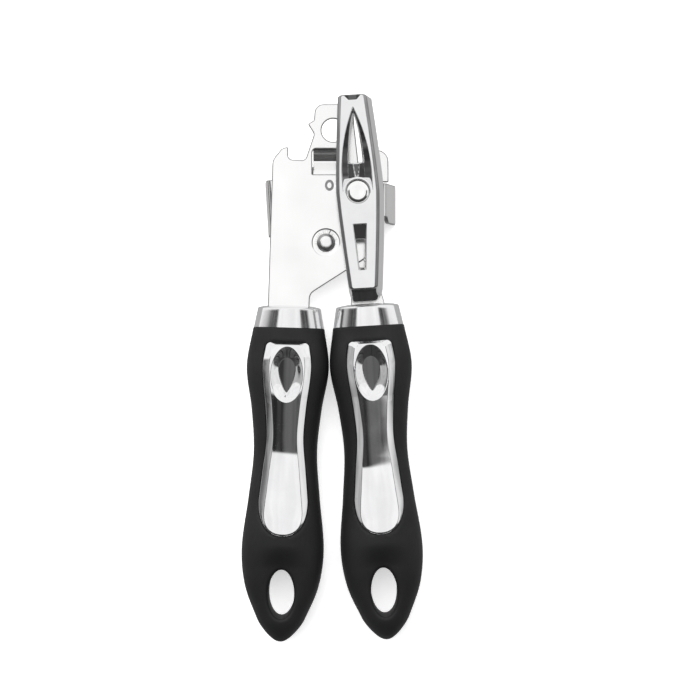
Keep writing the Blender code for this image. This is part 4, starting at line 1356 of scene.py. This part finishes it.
def build_sleeve():
    """The sleeve between the key and the front plate, with a collar that stands on the plate."""
    low, high = node_heights("key_bushing")
    ledge = FRONT_TOP + 0.05
    sleeve = soft_profile(((3.28, high, 0.2), (5.2, high, 0.5), (5.2, ledge, 0.2), (4.4, ledge, 0.0),
                           (4.4, low, 0.2), (3.28, low, 0.2)))
    add_turned("key_sleeve", KEY_AXIS, sleeve, TOOL, "left_lever", "key_bushing")


def build_spring():
    """The spring washer: a thin cone."""
    low, high = node_heights("key_spring_washer")
    foot = low - 0.05
    spring = soft_profile(((3.5, high, 0.05), (3.8, high, 0.1), (5.4, low + 0.3, 0.1), (5.4, foot, 0.05),
                           (5.2, foot, 0.05), (3.5, high - 0.4, 0.05)))
    add_turned("key_spring_cone", KEY_AXIS, spring, TOOL, "key", "key_spring_washer")


def build_washers():
    """The flat washers, with their edges rounded."""
    for node, centre, inner, outer, finish, body, slot in (
        ("pivot_washer", PIVOT, 2.8, 6.0, STEEL, "left_lever", "plated_steel"),
        ("rivet_backing_washer", PIVOT, 2.8, 5.6, STEEL, "left_lever", "plated_steel"),
        ("feed_wheel_washer", KEY_AXIS, 3.5, 5.4, TOOL, "key", "tool_steel"),
        ("cutter_spacer", CUTTER_AXIS, 2.8, 4.6, STEEL, "right_lever", "plated_steel"),
    ):
        low, high = node_heights(node)
        ring = ((inner, high, 0.1), (outer, high, 0.18), (outer, low, 0.18), (inner, low, 0.1))
        add_turned(node + "_ring", centre, soft_profile(ring), finish, body, node)


def build_cutter():
    """The cutting disc, bevelled from below to a sharp rim, and the headed stud that it turns on."""
    low, high = node_heights("cutter_wheel")
    disc = ((2.56, high), (3.6, high), (9.0, high), (9.98, high - 0.02), (10.0, high - 0.06),
            (8.2, low + 0.55), (8.0, low + 0.2), (7.8, low), (2.56, low))
    add_turned("cutter_disc", CUTTER_AXIS, disc, TOOL, "cutter", "cutter_wheel")
    low = node_heights("cutter_stud")[0]
    stem = [(0.0, REAR_TOP), (2.4, REAR_TOP), (2.5, REAR_TOP - 0.1), (2.5, low + 1.3)]
    head = [(4.5, low + 1.3), (4.6, low + 1.15), (4.4, low + 0.5), (3.6, low + 0.15), (0.0, low)]
    add_turned("cutter_stud_headed", CUTTER_AXIS, stem + head, STEEL, "right_lever", "cutter_stud",
               False)


def build_wave_washer():
    """The wave washer: a thin ring that rises and falls three times round."""
    low, high = node_heights("cutter_wave_washer")
    thickness = 0.3
    upper = high - thickness / 2
    lower = high - thickness * 1.5
    profile = ((2.8, upper), (4.4, upper), (4.4, lower), (2.8, lower))
    mesh = turned_mesh("wave_washer", CUTTER_AXIS, profile)
    swing = (high - low - thickness) / 2
    middle = (low + high) / 2
    for vert in mesh.vertices:
        angle = math.atan2(vert.co.y - CUTTER_AXIS[1] * MM, vert.co.x - CUTTER_AXIS[0] * MM)
        flat = vert.co.z - (high - thickness) * MM
        vert.co.z = middle * MM + flat + swing * math.sin(3 * angle) * MM
    add_piece("wave_washer", mesh, [TOOL], "right_lever", ["cutter_wave_washer"])


def build_feed_wheel():
    """The feed wheel, with its teeth eased at the edges."""
    low, high = node_heights("feed_wheel")
    teeth = 26
    rim = []
    for k in range(teeth):
        for share, radius in ((-0.36, 7.3), (-0.14, 8.0), (0.0, 8.0), (0.14, 8.0), (0.36, 7.3)):
            angle = (k + share) * 2 * math.pi / teeth + math.radians(KEY_TILT)
            rim.append(polar(*KEY_AXIS, radius, angle))
    solid = flat_solid("feed_wheel_toothed", [rim, circle(*KEY_AXIS, 2.8, 48)], low, high)
    round_edges(solid, 0.12, 1)
    mesh = tidy_mesh("feed_wheel_toothed", solid, 25)
    add_piece("feed_wheel_toothed", mesh, [TOOL], "key", ["feed_wheel"])


# Stage


CAMERA_TARGET = (6.7, 7.9)
CAMERA_DISTANCE = 690.0
CAMERA_SPAN = 266.0
PANEL_LIGHT = 0.93
SIDE_LIGHTS = (0.42, 0.8)  # left, right
ROOM_LIGHTS = (0.022, 0.14)  # darkest, brightest
NEAR_ROOM_LIGHT = 0.045
HORIZON_LIGHT = 0.4
FLOOR_LIGHT = 0.48


def build_camera():
    """A long lens that looks straight down at the table."""
    data = bpy.data.cameras.new("camera")
    camera = new_object("camera", data)
    camera.location = Vector((*CAMERA_TARGET, MID_PLANE + CAMERA_DISTANCE)) * MM
    data.sensor_width = 36.0
    data.lens = data.sensor_width * CAMERA_DISTANCE / CAMERA_SPAN
    data.clip_start = 0.01
    bpy.context.scene.camera = camera


def build_floor():
    """A plain pale floor, just under the opener's back."""
    mesh = bpy.data.meshes.new("floor")
    solid = bmesh.new()
    bmesh.ops.create_grid(solid, x_segments=1, y_segments=1, size=3.0)
    bmesh.ops.translate(solid, verts=solid.verts, vec=(0.0, 0.0, -0.0002))
    solid.to_mesh(mesh)
    solid.free()
    floor = new_object("floor", mesh)
    finish = Finish("floor_look", (0.85, 0.85, 0.85), 0.7, 0.0, Specular_IOR_Level=0.1,
                    Emission_Color=(1.0, 1.0, 1.0, 1.0), Emission_Strength=0.55)
    add_finishes(mesh, [finish.material])
    # the chrome is lit by the studio alone
    floor.visible_glossy = False


def room_shade(tree, across, along):
    """The dim room beyond the panels: soft upright bands of light and dark."""
    place = tree.nodes.new("ShaderNodeCombineXYZ")
    tree.links.new(across, place.inputs["X"])
    tree.links.new(along, place.inputs["Y"])
    maths = NodeMaths(tree, place.outputs[0])
    return maths.ramp(maths.noise(1.0, 2.0, (9.0, 2.2, 1.0)), 0.36, 0.64, *ROOM_LIGHTS)


def side_panel(maths, across, side, full, strength):
    """A panel beside the object, whose inner edge fades in over a width of its own."""
    inner = maths.ramp(across, side * 0.8, side * full)
    outer = maths.ramp(across, side * 2.2, side * 2.8, 1.0, 0.0)
    return maths.sum("MULTIPLY", maths.sum("MULTIPLY", inner, outer), strength)


def build_world():
    """A soft studio: a bright panel overhead and ahead, two beside it, a dim room and a pale floor."""
    world = bpy.data.worlds.new("studio")
    bpy.context.scene.world = world
    world.use_nodes = True
    tree = world.node_tree
    maths = NodeMaths(tree)
    split = tree.nodes.new("ShaderNodeSeparateXYZ")
    tree.links.new(tree.nodes.new("ShaderNodeTexCoord").outputs["Generated"], split.inputs[0])
    x, y, z = split.outputs
    up = maths.sum("MAXIMUM", z, 0.25)
    across = maths.sum("DIVIDE", x, up)
    along = maths.sum("DIVIDE", y, up)
    # overhead, and ahead of it up to the horizon
    overhead = maths.ramp(maths.sum("ABSOLUTE", across), 0.30, 0.38, 1.0, 0.0)
    overhead = maths.sum("MULTIPLY", overhead, maths.ramp(y, -0.125, -0.105))
    ahead = maths.ramp(y, 0.13, 0.21)
    bright = maths.sum("MULTIPLY", maths.sum("MAXIMUM", overhead, ahead), PANEL_LIGHT)
    # the panels beside it stop before the near side of the room
    right = side_panel(maths, across, 1, 1.1, SIDE_LIGHTS[1])
    left = side_panel(maths, across, -1, 1.3, SIDE_LIGHTS[0])
    sides = maths.sum("MULTIPLY", maths.sum("ADD", right, left), maths.ramp(y, -0.32, -0.22))
    # the room, which is plain and dark on its near side, and lighter at the horizon
    room = maths.sum("MAXIMUM", sides, maths.ramp(z, 0.14, 0.02, 0.0, HORIZON_LIGHT))
    near = maths.ramp(y, -0.6, -0.3, NEAR_ROOM_LIGHT, ROOM_LIGHTS[1])
    shade = maths.sum("MINIMUM", room_shade(tree, across, along), near)
    above = maths.sum("ADD", maths.sum("MAXIMUM", bright, room), shade)
    # the floor
    below = maths.ramp(z, 0.0, -0.03)
    light = maths.sum("MULTIPLY", above, maths.sum("SUBTRACT", 1.0, below))
    light = maths.sum("ADD", light, maths.sum("MULTIPLY", below, FLOOR_LIGHT))
    background = tree.nodes["Background"]
    tree.links.new(light, background.inputs["Strength"])
    background.inputs["Color"].default_value = (1.0, 1.0, 1.0, 1.0)


def build_light(name, place, size, power):
    """A broad lamp that lights the floor and the grips, and doesn't show in the chrome."""
    data = bpy.data.lights.new(name, "AREA")
    data.shape = "SQUARE"
    data.size = size
    data.energy = power
    lamp = new_object(name, data)
    lamp.location = place
    lamp.rotation_euler = Vector(place).to_track_quat("Z", "Y").to_euler()
    lamp.visible_glossy = False


def build_stage():
    """Floor, studio, lamps and camera, with plain colour handling."""
    build_floor()
    build_world()
    build_light("overhead_lamp", (-0.2, 0.6, 1.2), 1.4, 20.0)
    build_light("left_lamp", (-1.2, 0.4, 0.8), 0.8, 5.0)
    build_camera()
    bpy.context.scene.view_settings.view_transform = "Standard"


def build():
    """Every piece of the opener, and the stage."""
    left = build_handle("left")
    right = build_handle("right")
    build_front_plate(left)
    build_rear_plate(right)
    build_key()
    build_rivet()
    build_shaft()
    build_sleeve()
    build_spring()
    build_washers()
    build_cutter()
    build_wave_washer()
    build_feed_wheel()
    build_stage()


build()
